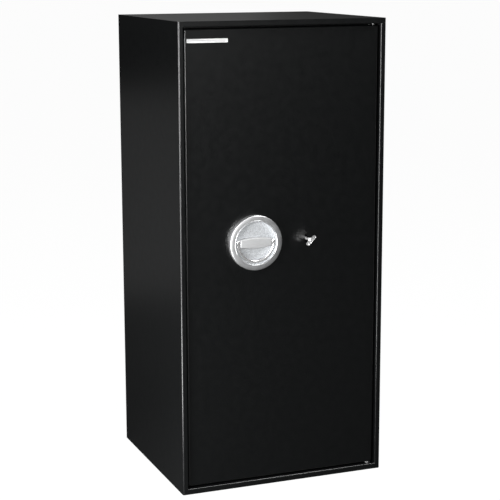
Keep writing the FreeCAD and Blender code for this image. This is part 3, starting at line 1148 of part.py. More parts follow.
def blank_plate():
    """A plain plate at the door's upper left corner, on two pins."""
    left = f"(-{DOOR_HALF} + Sizes.plate_inset)"
    high = f"({DOOR_HIGH} - Sizes.plate_drop)"
    x, z = (left, f"({left} + Sizes.plate_width)"), (f"({high} - Sizes.plate_height)", high)
    y = (f"({DOOR_FACE} - Sizes.plate_thick)", DOOR_FACE)
    plate = box("plate_block", x, y, z)
    doc.recompute()
    rounded = doc.addObject("Part::Fillet", "plate_rounded")
    rounded.Base = plate
    corner = size("plate_corner")
    rounded.Edges = [(n, corner, corner) for n, edge in enumerate(plate.Shape.Edges, start=1)
                     if along(edge, "y")]
    keep(rounded, "door_blank_plate")


# ---------------------------------------------------------------- build, check and write
for make in (outer_shell, back_panel, seat_frame, door_seal, inner_liner, insulation, strikes, sleeves,
             hinge_bearings, shelf_rails, shelf_fittings, door_pan, door_core, door_hinges, boltwork_case,
             hinge_dogs, guides, spindle_bush, escutcheon, handle_dish, handle_band, pull_ring, spindle,
             bolt_drive, rod_drive, lock_body, lock_fixings, lock_levers, key_bush, key, blank_plate):
    make()
    doc.recompute()

for piece in doc.Objects:
    if "Invalid" in piece.State or "Error" in piece.State:
        raise ValueError(f"{piece.Label} did not build")
os.makedirs("parts", exist_ok=True)
for piece in sub_parts:
    if piece.Shape.isNull() or not piece.Shape.isValid():
        raise ValueError(f"{piece.Label} has no valid shape")
    piece.Shape.exportStep(f"parts/{piece.Label}.step")
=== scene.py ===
import json
import math

import bmesh
import bpy
from mathutils import Matrix, Vector


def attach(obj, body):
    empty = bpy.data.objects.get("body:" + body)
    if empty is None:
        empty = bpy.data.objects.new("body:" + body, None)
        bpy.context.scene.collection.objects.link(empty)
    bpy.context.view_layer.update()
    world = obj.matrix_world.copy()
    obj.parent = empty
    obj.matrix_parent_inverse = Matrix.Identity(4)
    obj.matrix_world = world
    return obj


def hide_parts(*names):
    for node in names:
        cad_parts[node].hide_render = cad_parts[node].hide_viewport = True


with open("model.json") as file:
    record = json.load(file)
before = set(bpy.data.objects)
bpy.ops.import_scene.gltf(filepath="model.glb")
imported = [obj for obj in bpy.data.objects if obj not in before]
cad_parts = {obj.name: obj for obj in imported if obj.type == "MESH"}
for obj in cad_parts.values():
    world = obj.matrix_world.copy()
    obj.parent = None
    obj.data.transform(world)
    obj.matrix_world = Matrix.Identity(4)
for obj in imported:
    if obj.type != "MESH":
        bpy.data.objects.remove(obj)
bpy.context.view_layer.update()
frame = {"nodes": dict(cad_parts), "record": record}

# The looks of a short-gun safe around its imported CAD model. Lengths are in millimetres in the
# model's own frame and are scaled to metres when a mesh is made: +X right seen from the front, +Y to
# the back, +Z up, origin in the middle of the base.

MM = 0.001


# ---------------------------------------------------------------- camera, light and floor
CAMERA_AT = Vector((-1.1842, -2.9970, 1.1250))
CAMERA_AZIMUTH, CAMERA_ELEVATION, CAMERA_ROLL = -21.62, 11.35, -0.14
LENS, SENSOR = 104.85, 36.0


def make_camera():
    data = bpy.data.cameras.new("camera")
    data.lens, data.sensor_width = LENS, SENSOR
    camera = bpy.data.objects.new("camera", data)
    bpy.context.scene.collection.objects.link(camera)
    azimuth, elevation = math.radians(CAMERA_AZIMUTH), math.radians(CAMERA_ELEVATION)
    back = Vector((math.sin(azimuth) * math.cos(elevation), -math.cos(azimuth) * math.cos(elevation),
                   math.sin(elevation)))
    turn = (-back).to_track_quat("-Z", "Y").to_matrix()
    turn = turn @ Matrix.Rotation(math.radians(CAMERA_ROLL), 3, "Z")
    camera.matrix_world = Matrix.Translation(CAMERA_AT) @ turn.to_4x4()
    bpy.context.scene.camera = camera


def area_light(name, place, target, width, height, power):
    data = bpy.data.lights.new(name, "AREA")
    data.shape = "RECTANGLE"
    data.size, data.size_y, data.energy = width, height, power
    light = bpy.data.objects.new(name, data)
    light.location = place
    light.rotation_euler = (Vector(target) - Vector(place)).to_track_quat("-Z", "Y").to_euler()
    bpy.context.scene.collection.objects.link(light)


def seen_and_lit(tree, seen, lit):
    """One shader for what the camera sees directly, and another for light and reflections."""
    mix = tree.nodes.new("ShaderNodeMixShader")
    path = tree.nodes.new("ShaderNodeLightPath")
    tree.links.new(path.outputs["Is Camera Ray"], mix.inputs[0])
    tree.links.new(lit, mix.inputs[1])
    tree.links.new(seen, mix.inputs[2])
    return mix.outputs[0]


def make_world(seen, lit):
    """A white backdrop, with dimmer surroundings for light and reflections."""
    world = bpy.data.worlds.new("studio")
    world.use_nodes = True
    tree = world.node_tree
    tree.nodes.clear()
    shades = []
    for strength in (seen, lit):
        shade = tree.nodes.new("ShaderNodeBackground")
        shade.inputs["Color"].default_value = (1, 1, 1, 1)
        shade.inputs["Strength"].default_value = strength
        shades.append(shade.outputs[0])
    output = tree.nodes.new("ShaderNodeOutputWorld")
    tree.links.new(seen_and_lit(tree, *shades), output.inputs["Surface"])
    bpy.context.scene.world = world


def make_floor(glow, albedo):
    """A pale floor with a faint shadow, bright enough to run into the backdrop."""
    reach = 40.0
    corners = [(-reach, -reach, 0), (reach, -reach, 0), (reach, reach, 0), (-reach, reach, 0)]
    mesh = bpy.data.meshes.new("floor")
    mesh.from_pydata(corners, [], [(0, 1, 2, 3)])
    floor = bpy.data.objects.new("floor", mesh)
    bpy.context.scene.collection.objects.link(floor)
    material = bpy.data.materials.new("pale_floor")
    material.use_nodes = True
    tree = material.node_tree
    tree.nodes.clear()
    matt = tree.nodes.new("ShaderNodeBsdfDiffuse")
    matt.inputs["Color"].default_value = (albedo, albedo, albedo, 1)
    light = tree.nodes.new("ShaderNodeEmission")
    light.inputs["Strength"].default_value = glow
    both = tree.nodes.new("ShaderNodeAddShader")
    tree.links.new(matt.outputs[0], both.inputs[0])
    tree.links.new(light.outputs[0], both.inputs[1])
    output = tree.nodes.new("ShaderNodeOutputMaterial")
    tree.links.new(seen_and_lit(tree, both.outputs[0], matt.outputs[0]), output.inputs["Surface"])
    mesh.materials.append(material)


make_camera()
bpy.context.scene.view_settings.view_transform = "Standard"
make_world(seen=1.0, lit=0.05)
make_floor(glow=0.97, albedo=0.05)

# In metres and watts: place, target, width, height, power. The lights behind shine off the top and the
# left side. Those on the left and under the camera draw the bright lines down the front edges, the one
# overhead does the bottom lip, and the other two light the door and the handle.
area_light("behind_top", (0.2, 3.6, 2.4), (-0.3, 0, 1.0), 2.6, 1.2, 4.6)
area_light("overhead", (1.05, -0.85, 2.75), (0, -0.2, 0.3), 0.9, 0.9, 62)
area_light("left_panel", (-1.7, -0.85, 0.75), (-0.2, -0.2, 0.6), 0.9, 1.6, 60)
area_light("left_low", (-0.68, -0.40, 0.14), (-0.23, -0.2, 0.1), 0.2, 0.28, 5)
area_light("front_left", (-1.7, -5.0, 2.6), (0, -0.2, 0.9), 0.9, 1.2, 90)
area_light("under_camera", (-1.18, -3.1, 0.75), (-0.2, -0.2, 0.7), 0.5, 0.4, 55)
area_light("front_panel", (0.7, -5.0, 1.4), (0, -0.2, 0.9), 1.6, 1.0, 8)
area_light("back_left", (-0.95, 1.5, 0.35), (-0.24, 0.1, 0.35), 0.9, 0.7, 0.25)


# ---------------------------------------------------------------- material helpers
def principled(name, color, roughness, metallic=0.0, specular=0.5):
    material = bpy.data.materials.new(name)
    material.use_nodes = True
    shader = material.node_tree.nodes["Principled BSDF"]
    shader.inputs["Base Color"].default_value = (*color, 1)
    shader.inputs["Roughness"].default_value = roughness
    shader.inputs["Metallic"].default_value = metallic
    shader.inputs["Specular IOR Level"].default_value = specular
    return material, shader


def object_space(tree, scale=(1, 1, 1), shift=(0, 0, 0)):
    """The object's own coordinates, moved and stretched: the same place on the piece at every pose."""
    place = tree.nodes.new("ShaderNodeTexCoord")
    mapping = tree.nodes.new("ShaderNodeMapping")
    mapping.inputs["Location"].default_value = shift
    mapping.inputs["Scale"].default_value = scale
    tree.links.new(place.outputs["Object"], mapping.inputs["Vector"])
    return mapping.outputs["Vector"]


def from_axis(tree, centre, axis):
    """A vector whose length along X is the distance from an axis through the centre, for turned marks."""
    flat = tuple(0.0 if name == axis else 1.0 for name in "xyz")
    place = object_space(tree, flat, tuple(-c * MM * f for c, f in zip(centre, flat)))
    length = tree.nodes.new("ShaderNodeVectorMath")
    length.operation = "LENGTH"
    tree.links.new(place, length.inputs[0])
    whole = tree.nodes.new("ShaderNodeCombineXYZ")
    tree.links.new(length.outputs["Value"], whole.inputs["X"])
    return whole.outputs[0]


def noise(tree, vector, scale, detail=2.0, roughness=0.5):
    node = tree.nodes.new("ShaderNodeTexNoise")
    node.inputs["Scale"].default_value = scale
    node.inputs["Detail"].default_value = detail
    node.inputs["Roughness"].default_value = roughness
    tree.links.new(vector, node.inputs["Vector"])
    return node.outputs["Fac"]


def ramp(tree, fac, low, high, start=0.3, end=0.7):
    """Spreads a 0 to 1 pattern between two numbers or two colours."""
    node = tree.nodes.new("ShaderNodeValToRGB")
    ends = [value if isinstance(value, tuple) else (value,) * 3 for value in (low, high)]
    node.color_ramp.elements[0].position, node.color_ramp.elements[1].position = start, end
    for element, value in zip(node.color_ramp.elements, ends):
        element.color = (*value, 1)
    tree.links.new(fac, node.inputs["Fac"])
    return node.outputs["Color"]


def bump(tree, shader, height, distance):
    node = tree.nodes.new("ShaderNodeBump")
    node.inputs["Distance"].default_value = distance
    tree.links.new(height, node.inputs["Height"])
    tree.links.new(node.outputs["Normal"], shader.inputs["Normal"])


def powder_coat(name, dark, light, roughness, specular, peel, grain=900):
    """Stoved powder: fine orange peel, a little mottling, and slightly uneven gloss."""
    material, shader = principled(name, dark, roughness, specular=specular)
    tree = material.node_tree
    place = object_space(tree)
    tree.links.new(ramp(tree, noise(tree, place, 420, 3), dark, light), shader.inputs["Base Color"])
    tree.links.new(ramp(tree, noise(tree, place, 60, 4), roughness - 0.02, roughness + 0.02),
                   shader.inputs["Roughness"])
    bump(tree, shader, noise(tree, place, grain, 2, 0.6), peel)
    return material


def worked_metal(name, dark, light, roughness, spread=0.05, grain=(1, 1, 1), grain_scale=300, depth=0.02 * MM,
                 metallic=1.0):
    """Metal with the marks of how it was finished, stretched along the grain."""
    material, shader = principled(name, dark, roughness, metallic)
    tree = material.node_tree
    marks = noise(tree, object_space(tree, grain), grain_scale, 4, 0.6)
    stains = noise(tree, object_space(tree), 25, 3)
    tree.links.new(ramp(tree, marks, dark, light, 0.25, 0.75), shader.inputs["Base Color"])
    tree.links.new(ramp(tree, stains, roughness - spread, roughness + spread), shader.inputs["Roughness"])
    bump(tree, shader, marks, depth)
    return material


def turned_metal(name, dark, light, roughness, centre, axis, scale=1500, depth=0.02 * MM):
    """Metal with fine rings from the lathe round an axis."""
    material, shader = principled(name, dark, roughness, metallic=1.0)
    tree = material.node_tree
    rings = noise(tree, from_axis(tree, centre, axis), scale, 3, 0.7)
    stains = noise(tree, object_space(tree), 60, 3)
    tree.links.new(ramp(tree, rings, dark, light, 0.25, 0.75), shader.inputs["Base Color"])
    tree.links.new(ramp(tree, stains, roughness - 0.03, roughness + 0.04), shader.inputs["Roughness"])
    bump(tree, shader, rings, depth)
    return material


def blasted_metal(name, dark, light, roughness, depth):
    """A bead-blasted casting: round pits a fraction of a millimetre across over a soft mottle."""
    material, shader = principled(name, dark, roughness, metallic=0.5)
    tree = material.node_tree
    place = object_space(tree)
    pits = tree.nodes.new("ShaderNodeTexVoronoi")
    pits.inputs["Scale"].default_value = 900
    tree.links.new(place, pits.inputs["Vector"])
    mottle = noise(tree, place, 700, 4, 0.7)
    tree.links.new(ramp(tree, mottle, dark, light, 0.35, 0.65), shader.inputs["Base Color"])
    bump(tree, shader, pits.outputs["Distance"], depth)
    return material


def grey(level, blue=0.0):
    return (level * (1 - blue), level, level * (1 + blue))


HANDLE_X, KEY_X, LOCK_Z = -65.4, 53.6, 537.0
DOOR_FACE = -199.5
HANDLE_CENTRE = (HANDLE_X, 0, LOCK_Z)

MATERIALS = {
    "black_coat": powder_coat("black_coat", (0.0010, 0.0012, 0.0013), (0.0018, 0.0021, 0.0022), 0.30, 0.5,
                              0.012 * MM),
    "inner_coat": powder_coat("inner_coat", (0.28, 0.29, 0.30), (0.32, 0.33, 0.34), 0.5, 0.4, 0.02 * MM),
    "ring_steel": turned_metal("ring_steel", grey(0.66, 0.01), grey(0.80, 0.01), 0.40, HANDLE_CENTRE, "y"),
    "band_steel": worked_metal("band_steel", grey(0.34, 0.01), grey(0.42, 0.01), 0.5, 0.03, (0.2, 1, 1), 500,
                               0.01 * MM, metallic=0.3),
    "cast_steel": blasted_metal("cast_steel", grey(0.36, 0.03), grey(0.80, 0.03), 0.5, 0.16 * MM),
    "polished": worked_metal("polished", grey(0.84), grey(0.92), 0.24, 0.03, grain_scale=90,
                             depth=0.003 * MM, metallic=0.85),
    "bolt_chrome": worked_metal("bolt_chrome", grey(0.68), grey(0.78), 0.18, grain_scale=200,
                                depth=0.006 * MM),
    "zinc_steel": worked_metal("zinc_steel", (0.50, 0.52, 0.54), (0.66, 0.66, 0.62), 0.38, grain_scale=160),
    "hard_steel": worked_metal("hard_steel", grey(0.10), grey(0.20), 0.42, grain_scale=260),
    "brass": worked_metal("brass", (0.62, 0.42, 0.17), (0.76, 0.56, 0.27), 0.28),
    "plate_metal": worked_metal("plate_metal", grey(0.74), grey(0.88), 0.34, 0.03, (0.05, 1, 1), 900,
                                0.01 * MM, metallic=0.5),
    "fill": powder_coat("fill", (0.52, 0.50, 0.46), (0.66, 0.63, 0.57), 0.9, 0.2, 0.5 * MM),
    "fire_board": powder_coat("fire_board", (0.55, 0.53, 0.50), (0.68, 0.66, 0.62), 0.9, 0.2, 0.3 * MM),
    "seal": powder_coat("seal", (0.015, 0.015, 0.015), (0.03, 0.03, 0.03), 0.7, 0.3, 0.1 * MM),
    "mat": powder_coat("mat", (0.018, 0.018, 0.020), (0.034, 0.034, 0.037), 0.75, 0.3, 0.1 * MM),
}
NODE_SLOT = {entry["node"]: entry["material_slot"] for entry in frame["record"]["subparts"]}
NODE_BODY = {node: body for body, nodes in frame["record"]["behaviour"]["bodies"].items() for node in nodes}
for node, piece in frame["nodes"].items():
    piece.data.materials.clear()
    piece.data.materials.append(MATERIALS[NODE_SLOT[node]])


# ---------------------------------------------------------------- mesh helpers
SPREAD = {"x": lambda along, a, b: (along, a, b), "y": lambda along, a, b: (a, along, b),
          "z": lambda along, a, b: (a, b, along)}


def strip(bm, ring_a, ring_b, closed=True):
    """Faces between two rows of points; a row of one point makes a fan."""
    count = max(len(ring_a), len(ring_b))
    for n in range(count if closed else count - 1):
        corners = [ring_a[n % len(ring_a)], ring_a[(n + 1) % len(ring_a)],
                   ring_b[(n + 1) % len(ring_b)], ring_b[n % len(ring_b)]]
        face = [corner for k, corner in enumerate(corners) if corner not in corners[:k]]
        bm.faces.new(face)


def hexagon(angle):
    """How much a ring's radius grows at an angle to make it six-sided."""
    return 1 / math.cos((angle + math.pi / 6) % (math.pi / 3) - math.pi / 6)


def lathe(bm, profile, centre, axis, segments=48, closed=False):
    """Turns a profile of (place along the axis, radius) round the axis; a third value True is six-sided."""
    rings = []
    for along, radius, *six_sided in profile:
        if radius == 0:
            rings.append([bm.verts.new(SPREAD[axis](along, *centre))])
            continue
        ring = []
        for n in range(segments):
            angle = 2 * math.pi * n / segments
            reach = radius * (hexagon(angle) if six_sided else 1)
            ring.append(bm.verts.new(SPREAD[axis](along, centre[0] + reach * math.cos(angle),
                                                  centre[1] + reach * math.sin(angle))))
        rings.append(ring)
    for ring_a, ring_b in zip(rings, rings[1:]):
        strip(bm, ring_a, ring_b)
    if closed:
        strip(bm, rings[-1], rings[0])


def arc(middle, radius, start, end, steps=6):
    """Points on a quarter or part circle between two angles in degrees."""
    turns = [math.radians(start + (end - start) * n / steps) for n in range(steps + 1)]
    return [(middle[0] + radius * math.cos(turn), middle[1] + radius * math.sin(turn)) for turn in turns]


def rounded_block(bm, low, high, radius, segments=3):
    """A block with all its edges rounded."""
    made = bmesh.ops.create_cube(bm, size=1)["verts"]
    for vert in made:
        vert.co = [a + (b - a) * (c + 0.5) for a, b, c in zip(low, high, vert.co)]
    edges = {edge for vert in made for edge in vert.link_edges}
    bmesh.ops.bevel(bm, geom=list(edges), offset=radius, segments=segments, affect="EDGES", profile=0.5)


def rounded_rectangle(across, up, corner, steps=4):
    """The outline of a rectangle with round corners, as pairs."""
    (left, right), (low, high) = across, up
    points = []
    for x, z, start in ((right - corner, high - corner, 0), (left + corner, high - corner, 90),
                        (left + corner, low + corner, 180), (right - corner, low + corner, 270)):
        points += arc((x, z), corner, start, start + 90, steps)
    return points


def layered(bm, outlines, axis, cap_ends=True):
    """A solid through outlines with equal counts, each given as (place along the axis, points)."""
    rings = [[bm.verts.new(SPREAD[axis](along, *point)) for point in points] for along, points in outlines]
    for ring_a, ring_b in zip(rings, rings[1:]):
        strip(bm, ring_a, ring_b)
    if cap_ends:
        bm.faces.new(rings[0])
        bm.faces.new(rings[-1])


def shrunk(points, inset):
    """An outline pulled in evenly, by moving each point along the mean of its two edge normals."""
    count = len(points)
    moved = []
    for n in range(count):
        (ax, az), (bx, bz), (cx, cz) = points[n - 1], points[n], points[(n + 1) % count]
        normals = []
        for dx, dz in ((bx - ax, bz - az), (cx - bx, cz - bz)):
            length = math.hypot(dx, dz) or 1.0
            normals.append((-dz / length, dx / length))
        nx, nz = normals[0][0] + normals[1][0], normals[0][1] + normals[1][1]
        scale = 2 * inset / max(nx * nx + nz * nz, 1.0)
        moved.append((bx + nx * scale, bz + nz * scale))
    return moved


def soft_prism(bm, points, low, high, axis, edge, steps=3):
    """A prism with rounded rims at both ends; the points run anticlockwise."""
    turns = [math.pi / 2 * n / steps for n in range(steps + 1)]
    rise = [(edge * (1 - math.sin(turn)), edge * (1 - math.cos(turn))) for turn in turns]
    outlines = [(low + along, shrunk(points, inset)) for inset, along in rise]
    outlines += [(high - along, shrunk(points, inset)) for inset, along in reversed(rise)]
    layered(bm, outlines, axis)


def show(name, nodes, build, slot=None, sharp=35, place=None):
    """Makes a mesh that rides on the body of the CAD nodes it stands for and takes their slot."""
    bm = bmesh.new()
    build(bm)
    bmesh.ops.remove_doubles(bm, verts=bm.verts, dist=1e-4)
    bmesh.ops.recalc_face_normals(bm, faces=bm.faces)
    if place is not None:
        bmesh.ops.transform(bm, matrix=place, verts=bm.verts)
    bmesh.ops.scale(bm, vec=(MM, MM, MM), verts=bm.verts)
    mesh = bpy.data.meshes.new(name)
    bm.to_mesh(mesh)
    bm.free()
    mesh.polygons.foreach_set("use_smooth", [True] * len(mesh.polygons))
    mesh.set_sharp_from_angle(angle=math.radians(sharp))
    slot = slot or NODE_SLOT[nodes[0]]
    mesh.materials.append(MATERIALS[slot])
    piece = bpy.data.objects.new(name, mesh)
    bpy.context.scene.collection.objects.link(piece)
    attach(piece, NODE_BODY[nodes[0]])
    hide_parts(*nodes)
    return piece


# ---------------------------------------------------------------- handle
RING_FRONT = DOOR_FACE - 13
RING_R, BORE_R, DISH_R = 58.5, 46.8, 46.5
DISH_SEAT = RING_FRONT + 12
PULL_Y = RING_FRONT + 4


def escutcheon(bm):
    """A flat satin face between a thin rounded chamfer outside and a fine raised rim round the bore."""
    face = RING_FRONT + 0.5
    chamfer = 1.5
    profile = [(DOOR_FACE, RING_R - 0.6), (DOOR_FACE - 0.6, RING_R), (face + chamfer + 0.6, RING_R)]
    profile += [(face + along, RING_R - inset) for along, inset in ((chamfer, 0.1), (0.7, 0.5), (0.2, 1.0))]
    profile += [(face, RING_R - chamfer), (face, BORE_R + 1.6), (RING_FRONT + 0.1, BORE_R + 1.3),
                (RING_FRONT, BORE_R + 0.9), (RING_FRONT + 0.1, BORE_R + 0.35), (RING_FRONT + 0.5, BORE_R),
                (DOOR_FACE, BORE_R)]
    lathe(bm, profile, (HANDLE_X, LOCK_Z), "y", 160, closed=True)


def dish(bm):
    """The round tray: thin lip, rounded root and a floor that rises a little to the middle."""
    wall, root, crown, floor_thick = 1.5, 4, 0.6, 3.5
    inner, lip = DISH_R - wall, RING_FRONT + 1
    profile = [(DISH_SEAT - crown, 0), (DISH_SEAT - 0.4, 20), (DISH_SEAT, inner - 5)]
    profile += [(DISH_SEAT - root + root * math.cos(turn), inner - root - 0.2 + root * math.sin(turn))
                for turn in (0.25, 0.5, 0.8, 1.1, 1.35)]
    profile += [(lip + 1, inner), (lip + 0.25, inner + 0.25), (lip, inner + 0.7), (lip + 0.2, DISH_R - 0.2),
                (lip + 0.7, DISH_R), (DISH_SEAT + floor_thick, DISH_R), (DISH_SEAT + floor_thick, 0)]
    lathe(bm, profile, (HANDLE_X, LOCK_Z), "y", 128)


def band_outline(half_length, half_height, bulge, steps=18):
    """A barrel lying on its side, anticlockwise seen along +Y."""
    points = []
    for sign in (1, -1):
        for n in range(steps + 1):
            across = sign * half_length * (1 - 2 * n / steps)
            rise = bulge * (1 - (across / half_length) ** 2)
            points.append((HANDLE_X + across, LOCK_Z + sign * (half_height + rise)))
    return points


def band(bm):
    """The cross band: the barrel outline raised from the dish's floor, with rounded edges."""
    half_length, half_height, bulge, rise, edge = 35.4, 8, 3.5, 11.5, 2.4
    points = band_outline(half_length, half_height, bulge)
    soft_prism(bm, points, DISH_SEAT - rise, DISH_SEAT - 0.2, "y", edge, 5)


def pull(bm):
    """The half ring: an oval section swept round the lower half, and a lug at each end."""
    middle, half_width, half_thick = 40.25, 3.2, 2.4
    steps, sides, squareness = 64, 20, 2.6
    lug_reach, lug_below, lug_above, lug_half_thick, lug_round = 4, 2.8, 6, 2.5, 1.5
    lug_middle = 40.1
    rings = []
    for n in range(steps + 1):
        turn = math.radians(180 + 180 * n / steps)
        ring = []
        for k in range(sides):
            around = 2 * math.pi * k / sides
            power_sum = abs(math.cos(around)) ** squareness + abs(math.sin(around)) ** squareness
            swell = 1 / power_sum ** (1 / squareness)
            radius = middle + half_width * swell * math.cos(around)
            ring.append(bm.verts.new((HANDLE_X + radius * math.cos(turn),
                                      PULL_Y + half_thick * swell * math.sin(around),
                                      LOCK_Z + radius * math.sin(turn))))
        rings.append(ring)
    for ring_a, ring_b in zip(rings, rings[1:]):
        strip(bm, ring_a, ring_b)
    for sign in (-1, 1):
        place = HANDLE_X + sign * lug_middle
        rounded_block(bm, (place - lug_reach, PULL_Y - lug_half_thick, LOCK_Z - lug_below),
                      (place + lug_reach, PULL_Y + lug_half_thick, LOCK_Z + lug_above), lug_round, 4)


def pull_pins(bm):
    """The two pins, with domed heads outside the lugs."""
    radius, dome_radius = 1.98, 1.4
    for sign in (-1, 1):
        root, tip = HANDLE_X + sign * 32.5, HANDLE_X + sign * 44.0
        profile = [(root, 0), (root, radius), (tip - sign * 0.5, radius), (tip - sign * 0.1, dome_radius),
                   (tip, 0)]
        lathe(bm, profile, (PULL_Y, LOCK_Z), "x", 24)


show("handle_ring", ["escutcheon_ring"], escutcheon, sharp=24)
show("dish", ["handle_dish"], dish)
show("band", ["handle_band"], band)
show("half_ring", ["pull_ring"], pull, sharp=50)
show("half_ring_pins", ["pull_ring_pins"], pull_pins)


# ---------------------------------------------------------------- key
KEY_TURN = Matrix.Translation((KEY_X, 0, LOCK_Z)) @ Matrix.Rotation(math.radians(45), 4, "Y")


def key(bm):
    """Two pressed leaves round a thinner core for the bow, a collared shank and two cut bits."""
    front, rear, half, corner = DOOR_FACE - 34, DOOR_FACE - 20, 13.1, 5
    leaf_outside, leaf_inside, leaf_round = 1.3, 0.35, 0.35
    core_inset, core_half, core_round = 0.7, 0.6, 0.05
    leaf = rounded_rectangle((front, rear), (-half, half), corner, 6)
    core = shrunk(leaf, core_inset)
    layers = ((-leaf_outside, -leaf_inside, leaf, leaf_round), (leaf_inside, leaf_outside, leaf, leaf_round),
              (-core_half, core_half, core, core_round))
    for low, high, points, edge in layers:
        soft_prism(bm, points, low, high, "x", edge)
    shank_end, shank_radius, collar_radius = -147.7, 3.0, 4.2
    profile = [(rear - 1, 0), (rear - 1, collar_radius), (rear + 1.2, collar_radius), (rear + 1.8, 3.6),
               (rear + 2.4, shank_radius), (shank_end - 1, shank_radius), (shank_end, 2.2), (shank_end, 0)]
    lathe(bm, profile, (0, 0), "y", 32)
    bit_front, bit_pitch, bit_width, bit_half_thick, bit_root = -157.3, 2.4, 2.2, 1.15, 2.5
    for sign in (-1, 1):
        for step, reach in enumerate((8.0, 6.4, 7.4, 5.8)):
            low = bit_front + bit_pitch * step
            ends = sorted((sign * bit_root, sign * reach))
            rounded_block(bm, (-bit_half_thick, low, ends[0]),
                          (bit_half_thick, low + bit_width, ends[1]), 0.2, 1)


show("key_piece", ["key"], key, place=KEY_TURN)


# ---------------------------------------------------------------- door trim
def blank_plate(bm):
    """A plain bar with a raised border, left blank."""
    across, up, corner = (-211.9, -123.1), (956.1, 964.4), 1.0
    outer = rounded_rectangle(across, up, corner)
    # (how far it stands off the door, how far in from the edge), from the door out and over the border
    steps = ((0, 0), (0.7, 0), (0.95, 0.25), (0.98, 0.5), (0.95, 1.2), (0.75, 1.6))
    rows = [(DOOR_FACE - proud, shrunk(outer, inset) if inset else outer) for proud, inset in steps]
    layered(bm, rows, "y")


show("blank_bar", ["door_blank_plate"], blank_plate, sharp=20)


# ---------------------------------------------------------------- boltwork
BOLT_Y = -150.5
SIDE_BOLTS = (190, 470, 750)
BOX_HALF, BOX_LOW, BOX_HIGH, BOX_REAR = 182, 51, 949, -129.5
ROD_OFFSET = 22.2


def bolt_profile(tail, nose, radius=10.0):
    """From the tail's middle to the nose: a small chamfer, a rounded end and a shallow centre recess."""
    way = math.copysign(1, nose - tail)
    nose_round = 3
    profile = [(tail, 0), (tail, radius - 0.5), (tail + way * 0.5, radius)]
    profile += [(nose - way * nose_round * (1 - math.sin(turn)), radius - nose_round * (1 - math.cos(turn)))
                for turn in (0, 0.26, 0.52, 0.78, 1.05, 1.31, 1.57)]
    return profile + [(nose, radius - 4.2), (nose - way * 0.4, radius - 4.8), (nose - way * 0.4, 0)]


def left_bolts(bm):
    """Three bolts, each with its threaded stub running back into the bolt bar."""
    for up in SIDE_BOLTS:
        lathe(bm, bolt_profile(-152, -183), (BOLT_Y, up), "x")
        lathe(bm, [(-152, 3.5), (-132.6, 3.5), (-132, 2.9), (-132, 0)], (BOLT_Y, up), "x", 24)


def side_dogs(bm):
    """Three fixed dogs on the hinge side."""
    for up in SIDE_BOLTS:
        lathe(bm, bolt_profile(166, 205), (BOLT_Y, up), "x")


def end_bolt(place, tail, nose):
    """Builds an upright bolt for the top or the bottom of the door."""
    return lambda bm: lathe(bm, bolt_profile(tail, nose), (place, BOLT_Y), "z")


def cover(bm):
    """The rear cover: rounded corners, and a panel pressed in a little for stiffness."""
    sheet, corner, panel_corner, panel_inset = 1.5, 4, 14, (26, 29)
    outer = rounded_rectangle((-BOX_HALF, BOX_HALF), (BOX_LOW, BOX_HIGH), corner, 5)
    panel = rounded_rectangle((-BOX_HALF + panel_inset[0], BOX_HALF - panel_inset[0]),
                              (BOX_LOW + panel_inset[1], BOX_HIGH - panel_inset[1]), panel_corner, 5)
    rows = [(BOX_REAR - sheet, outer), (BOX_REAR - 0.4, outer), (BOX_REAR, shrunk(outer, 0.5)),
            (BOX_REAR, panel), (BOX_REAR - 0.3, shrunk(panel, 0.8)), (BOX_REAR - 1.1, shrunk(panel, 2.2)),
            (BOX_REAR - 1.3, shrunk(panel, 3.2))]
    layered(bm, rows, "y")


def socket_screw(bm, base, top, centre, axis, radius):
    """A button head with a six-sided socket."""
    rise = top - base
    head = [(0, 0), (0, 1), (0.35, 1), (0.7, 0.86), (0.95, 0.66), (1, 0.52), (0.95, 0.36, True),
            (0.3, 0.34, True), (0.3, 0)]
    profile = [(base + up * rise, out * radius, *six_sided) for up, out, *six_sided in head]
    lathe(bm, profile, centre, axis, 36)


def cover_screws(bm):
    """Four screws down each side, the middle two at the thirds."""
    side_inset, end_inset, head_rise, head_radius = 10, 12, 1.6, 4
    third = (BOX_HIGH - BOX_LOW) / 3
    for x in (side_inset - BOX_HALF, BOX_HALF - side_inset):
        for z in (BOX_LOW + end_inset, BOX_LOW + third, BOX_HIGH - third, BOX_HIGH - end_inset):
            socket_screw(bm, BOX_REAR, BOX_REAR + head_rise, (x, z), "y", head_radius)


show("left_bolts_turned", ["left_bolts"], left_bolts)
show("side_dogs_turned", ["hinge_side_dogs"], side_dogs)
show("top_bolt_turned", ["top_bolt"], end_bolt(HANDLE_X + ROD_OFFSET, 927, 950))
show("bottom_bolt_turned", ["bottom_bolt"], end_bolt(HANDLE_X - ROD_OFFSET, 73, 50))
show("cover_pressed", ["boltwork_cover"], cover, sharp=20)
show("cover_screw_heads", ["cover_screws"], cover_screws)


# ---------------------------------------------------------------- fittings
RAIL_ROWS = (-97.5, 105.5)
RAIL_SCREW_ROWS = (80, 920)
LINER_HALF, ROOM_LOW = 188, 42
SHELF_HALF, SHELF_FRONT, SHELF_REAR = 185, -112.5, 161.5
LOWER_SHELF, UPPER_SHELF = 330, 640
MAT_THICK = 4


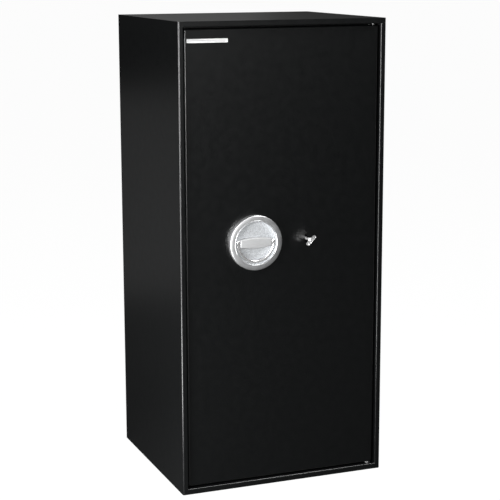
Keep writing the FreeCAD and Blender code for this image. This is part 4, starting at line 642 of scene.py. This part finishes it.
def folded_shelf(top):
    """A tray with rounded folds, 1.5 mm sheet and a hemmed lower edge."""
    def build(bm):
        lip, sheet, fold = 22, 1.5, 2.6
        rows = []
        for inset, along in ((0, 0), (0, lip - fold)):
            rows.append((top - lip + along, inset))
        rows += [(top - fold + fold * math.sin(t), fold * (1 - math.cos(t))) for t in (0.4, 0.8, 1.2, 1.57)]
        under = [(top - sheet, sheet + fold), (top - sheet - 1.0, sheet + 0.4), (top - lip, sheet)]
        outer, inner = (
            [(z, rounded_rectangle((-SHELF_HALF + inset, SHELF_HALF - inset),
                                   (SHELF_FRONT + inset, SHELF_REAR - inset), corner - inset))
             for z, inset in stages]
            for stages, corner in ((rows, 4.5), (under, 5.6)))
        layered(bm, outer, "z", cap_ends=False)
        layered(bm, inner, "z", cap_ends=False)
        bm.verts.ensure_lookup_table()
        count = len(outer[0][1])
        bm.faces.new(bm.verts[count * (len(outer) - 1):count * len(outer)])
        first_inner = count * len(outer)
        bm.faces.new(bm.verts[first_inner:first_inner + count])
        last_inner = first_inner + count * (len(inner) - 1)
        strip(bm, bm.verts[0:count], bm.verts[last_inner:last_inner + count])
    return build


def ribbed_mat(bm, half, front, rear, base, thick):
    """A rubber mat with fine ribs from side to side."""
    pitch, rib, height = 4.0, 2.2, 1.0
    count = int((rear - front - 8) // pitch)
    start = (front + rear - count * pitch) / 2
    top = base + thick
    points = [(rear - 0.8, base), (rear, base + 0.8), (rear, top - height - 0.6), (rear - 0.6, top - height)]
    for n in reversed(range(count)):
        low = start + n * pitch + (pitch - rib) / 2
        points += [(low + rib, top - height), (low + rib - 0.35, top - 0.2), (low + rib - 0.6, top),
                   (low + 0.6, top), (low + 0.35, top - 0.2), (low, top - height)]
    points += [(front + 0.6, top - height), (front, top - height - 0.6), (front, base + 0.8),
               (front + 0.8, base)]
    layered(bm, [(-half, points), (half, points)], "x")


def shelf_mats(bm):
    margin = 3.1
    for up in (LOWER_SHELF, UPPER_SHELF):
        ribbed_mat(bm, SHELF_HALF - margin, SHELF_FRONT + margin, SHELF_REAR - margin, up, MAT_THICK)


def floor_mat(bm):
    half, front, rear = 186.9, -112.4, 164.4
    ribbed_mat(bm, half, front, rear, ROOM_LOW, MAT_THICK)


def rail_screws(bm):
    for side in (-1, 1):
        wall = side * LINER_HALF
        for y in RAIL_ROWS:
            for z in RAIL_SCREW_ROWS:
                socket_screw(bm, wall, wall - side * 1.2, (y, z), "x", 4)


show("lower_shelf_folded", ["lower_shelf"], folded_shelf(LOWER_SHELF), sharp=30)
show("upper_shelf_folded", ["upper_shelf"], folded_shelf(UPPER_SHELF), sharp=30)
show("ribbed_shelf_mats", ["shelf_mats"], shelf_mats)
show("ribbed_floor_mat", ["floor_mat"], floor_mat)
show("rail_screw_heads", ["shelf_rail_screws"], rail_screws)
